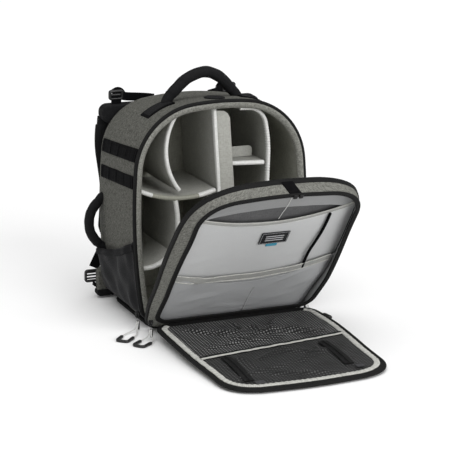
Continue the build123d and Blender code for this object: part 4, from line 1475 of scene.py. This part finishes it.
MESH_CREASES = [(-130, 150, -8, 250, 4.0, 2.0), (130, 130, 190, 220, 4.5, 2.2), (-20, 40, 100, 90, 4.5, 2.4),
                (-130, 40, 40, 160, 4.0, 2.0), (60, 40, 120, 80, 4.5, 2.0), (-60, 300, 12, 150, 4.0, 2.6),
                (-90, 205, 68, 110, 4.5, 2.4), (-50, 230, -32, 120, 4.0, 2.6), (10, 262, -28, 110, 4.0, 2.2),
                (-10, 205, 15, 120, 4.5, 2.2), (70, 200, 60, 110, 4.0, 1.8), (-110, 60, 20, 130, 6.0, 2.2),
                (0, 60, 70, 80, 5.0, 2.2), (20, 90, 12, 120, 5.0, 2.0), (-60, 110, 40, 70, 5.0, 1.8),
                (-120, 300, -20, 160, 5.0, 2.2)]


def mesh_surface(index, share, x, up):
    lift = 1.6 + 1.1 * rumple(Vector((x, 3, up)), 34, 1.0, 21.0) + 0.35 * rumple(Vector((x, 8, up)), 12, 1.0)
    lift += 1.7 * sum(crease(x, up, *fold) for fold in MESH_CREASES)
    return -max(1.2, lift * (1 - 0.75 * ramp(share, 0.9, 1.0)))


def mesh_outline(near):
    """The outline of the mesh before or beyond the pale strip."""
    found = []
    for p in arch(POCKET, 15.0):
        spot = Vector((p.x, max(2.0, trim_place(p).y)))
        edge = split_at(spot.x)
        found.append(Vector((spot.x, min(edge - 2, spot.y) if near else max(edge + 2, spot.y))))
    return found


near_mesh = panel("mesh_pocket_near", flap, mesh_outline(True), mesh_surface, thickness=-0.7,
                  centre=Vector((0, 88)))
keep(near_mesh, "front_panel", net, ["mesh_pockets"])
# The far pocket uses the darker mesh: painted fold shade.
far_mesh = panel("mesh_pocket_far", flap, mesh_outline(False), mesh_surface, thickness=-0.7,
                 centre=Vector((0, 256)))
keep(far_mesh, "front_panel", net_painted_fold_shade)
half_strip = 148.0
strip_line = [flap.at(x, split_at(x) + 1.2 * math.sin(x / 60),
                      -3.6 - 0.8 * noise.noise(Vector((x / 20, 0, 0))))
              for x in [mix(-half_strip, half_strip, step / 60) for step in range(61)]]
strip = sweep("mesh_pocket_strip", strip_line, oval(2.6, 1.2, 12, 2.6), -flap.out,
              scale=lambda i: (1 + 0.12 * math.sin(i * 1.7), 1 + 0.15 * math.sin(i * 2.3)))
keep(strip, "front_panel", pale_binding, ["flap_strip"])
dark_hem = sweep("mesh_pocket_hem", [p - flap.up * 5.6 for p in strip_line], oval(3.4, 1.0, 12, 3.0),
                 -flap.out)
keep(dark_hem, "front_panel", tape_black)
for number, (x, low, high) in enumerate(((-102, 202, 320), (97, 187, 307)), 1):
    zip_line = [flat_flap.at(x + 2 * math.sin(up / 30), up,
                             -3.8 - 0.9 * math.sin((up - low) / (high - low) * math.pi))
                for up in range(low, high, 4)]
    tape_strip = sweep(f"mesh_zipper_{number}_tape", zip_line, oval(9.5, 0.9, 12, 3.4), -flap.out)
    keep(tape_strip, "front_panel", tape_black, ["mesh_zippers"])
    ridge = coil(f"mesh_zipper_{number}_coil", [p - flap.out * 1.2 for p in zip_line], -flap.out, radius=0.9)
    keep(ridge, "front_panel", tape_black)
    end = slab(f"mesh_zipper_{number}_tab", flat_flap,
               rounded_box_outline(8.5, 5.5, 1.5, 5, (x + 12, high + 11)),
               -3.4, -5.4, edge=0.8)
    keep(end, "front_panel", mesh_tab_cloth)


# ---------------------------------------------------------------- fabric across the two hinges
def hinge_cloth(name, profile, half_width, bodies, material, thickness=1.3, count=40):
    """A strip of fabric along X with that profile (places in the YZ plane), curved from one body to the other
    and baked in place.
    """
    middle = spline(profile, 22)
    turned = frames(middle, Vector((1, 0, 0)))
    rows = []
    for step in range(count + 1):
        x = mix(-half_width, half_width, step / count)
        wave = 0.25 * math.sin(x / 9.0)
        row = []
        for direction in (1, -1):
            pairs = list(zip(middle, turned))
            if direction < 0:
                pairs.reverse()
            row += [p + Vector((x, 0, 0)) + t[1] * (direction * thickness / 2 + wave) for p, t in pairs]
        rows.append(row)
    piece = skin(name, rows, loop_columns=True, caps=True, sharp=80)
    keep(piece, bodies, material)
    return piece


lid_profile = [Vector((0, -98.5, 7.6)), Vector((0, -104.0, 6.3)), lid.at(0, -1.6, 1.5), lid.at(0, -1.3, 5.0),
               lid.at(0, -0.6, 9.5)]
hinge_cloth("lid_hinge_cloth", lid_profile, 128.0,
            ("shell", "lid", tuple(Vector((0, -104.5, 6.0)) * MM), tuple(lid.at(0, -1.0, 3.5) * MM)),
            black_pad)
flap_profile = [rim.at(0, -1.0, -8.0), rim.at(0, -2.6, -4.0), rim.at(0, -3.2, 0.0), flap.at(0, -2.2, 3.4),
                flap.at(0, 4.0, 5.4)]
hinge_cloth("front_panel_hinge_cloth", flap_profile, 131.0,
            ("lid", "front_panel", tuple(rim.at(0, -2.4, -3.0) * MM), tuple(flap.at(0, 1.0, 3.4) * MM)),
            tape_black)


# ---------------------------------------------------------------- zipper sliders and pull tabs
for pull, (eye, direction, route, cord_length) in PULLS.items():
    side = 1 if "right" in pull else -1
    is_main = "main" in pull
    x, height = (173.2, 22.0) if is_main else (171.5, 10.0)
    seat = mouth if is_main else flat_rim
    middle_out = 0.0 if is_main else 1.0
    outline = [Vector((side * x + u, height + v)) for u, v in
               ((3.4, -5.6), (4.2, -3.0), (3.6, 0.4), (4.6, 4.4), (3.8, 6.0), (0, 5.2), (-3.8, 6.0),
                (-4.6, 4.4),
                (-3.6, 0.4), (-4.2, -3.0), (-3.4, -5.6), (0, -6.0))]
    for number, (low, high) in enumerate(((0.4, 3.0), (-2.4, -4.6)) if is_main else ((0.9, 3.4),
                                                                                     (-0.4, -2.6)), 1):
        wing = slab(f"{pull}_slider_wing_{number}", seat, outline, middle_out + low, middle_out + high,
                    edge=0.8)
        keep(wing, f"{pull}_slider", metal_black, [f"{pull}_slider"])
    post = slab(f"{pull}_slider_post", seat, rounded_box_outline(1.6, 2.4, 1.2, 5, (side * x, height + 2.6)),
                middle_out - 3.0, middle_out + 2.0, edge=0.5)
    keep(post, f"{pull}_slider", metal_black)
    bridge_line = spline([seat.at(side * x, height + v, middle_out + o) for v, o in
                          ((-4.6, 2.8), (-4.0, 4.8), (-1.0, 5.8), (2.4, 5.4), (4.4, 3.0))], 20)
    bridge = sweep(f"{pull}_slider_bridge", bridge_line, oval(1.5, 0.9, 10, 2.6), seat.out)
    keep(bridge, f"{pull}_slider", metal_black)
    place = pull_place(eye, direction)
    top = route[0][2]
    blade_line = [place(-3.0, 0, top - 1.5 - drop) for drop in (0, 1.5, 3, 5, 7.5, 10, 12.5, 14.5, 16)]
    blade = sweep(f"{pull}_tab_blade", blade_line, oval(2.6, 0.95, 14, 2.6),
                  place(1, 0, 0) - place(0, 0, 0), scale=lambda i: (1.0 - 0.22 * (i in (0, 8)), 1.0))
    keep(blade, f"{pull}_pull", metal_black, [f"{pull}_tab"])
    loop_line = [place(-1.4 + 2.0 * math.cos(a), 2.6 * math.sin(a), top - 0.5) for a in
                 [2 * math.pi * step / 20 for step in range(20)]]
    eye_ring = sweep(f"{pull}_eye_ring", loop_line, oval(0.8, 0.8, 8), Vector((0, 0, 1)), loop=True)
    keep(eye_ring, f"{pull}_pull", metal_black)


# ---------------------------------------------------------------- floor, light and view settings
floor_mesh = bpy.data.meshes.new("floor")
half_floor = 9.0
floor_mesh.from_pydata([(-half_floor, -half_floor, 0), (half_floor, -half_floor, 0),
                        (half_floor, half_floor, 0),
                        (-half_floor, half_floor, 0)], [], [(0, 1, 2, 3)])
floor = bpy.data.objects.new("floor", floor_mesh)
scene.collection.objects.link(floor)
floor_material = bpy.data.materials.new("studio_floor")
floor_material.use_nodes = True
floor_shader = floor_material.node_tree.nodes["Principled BSDF"]
floor_shader.inputs["Base Color"].default_value = (0.96, 0.96, 0.96, 1)
floor_shader.inputs["Roughness"].default_value = 0.7
floor_shader.inputs["Specular IOR Level"].default_value = 0.1
floor_mesh.materials.append(floor_material)

world = bpy.data.worlds.new("studio")
scene.world = world
world.use_nodes = True
world.node_tree.nodes["Background"].inputs["Color"].default_value = (1, 1, 1, 1)
world.node_tree.nodes["Background"].inputs["Strength"].default_value = 0.42


def sun_light(name, towards, softness, power):
    """A broad, far light that shines in a direction."""
    data = bpy.data.lights.new(name, "SUN")
    data.angle = math.radians(softness)
    data.energy = power
    made = bpy.data.objects.new(name, data)
    scene.collection.objects.link(made)
    made.rotation_euler = Vector(towards).to_track_quat("-Z", "Y").to_euler()


sun_light("overhead", (0.15, 0.25, -1.0), 60, 1.75)
sun_light("front", (-0.30, 0.93, -0.32), 40, 1.75)

scene.view_settings.view_transform = "Standard"
scene.view_settings.look = "None"
scene.view_settings.exposure = 0.0
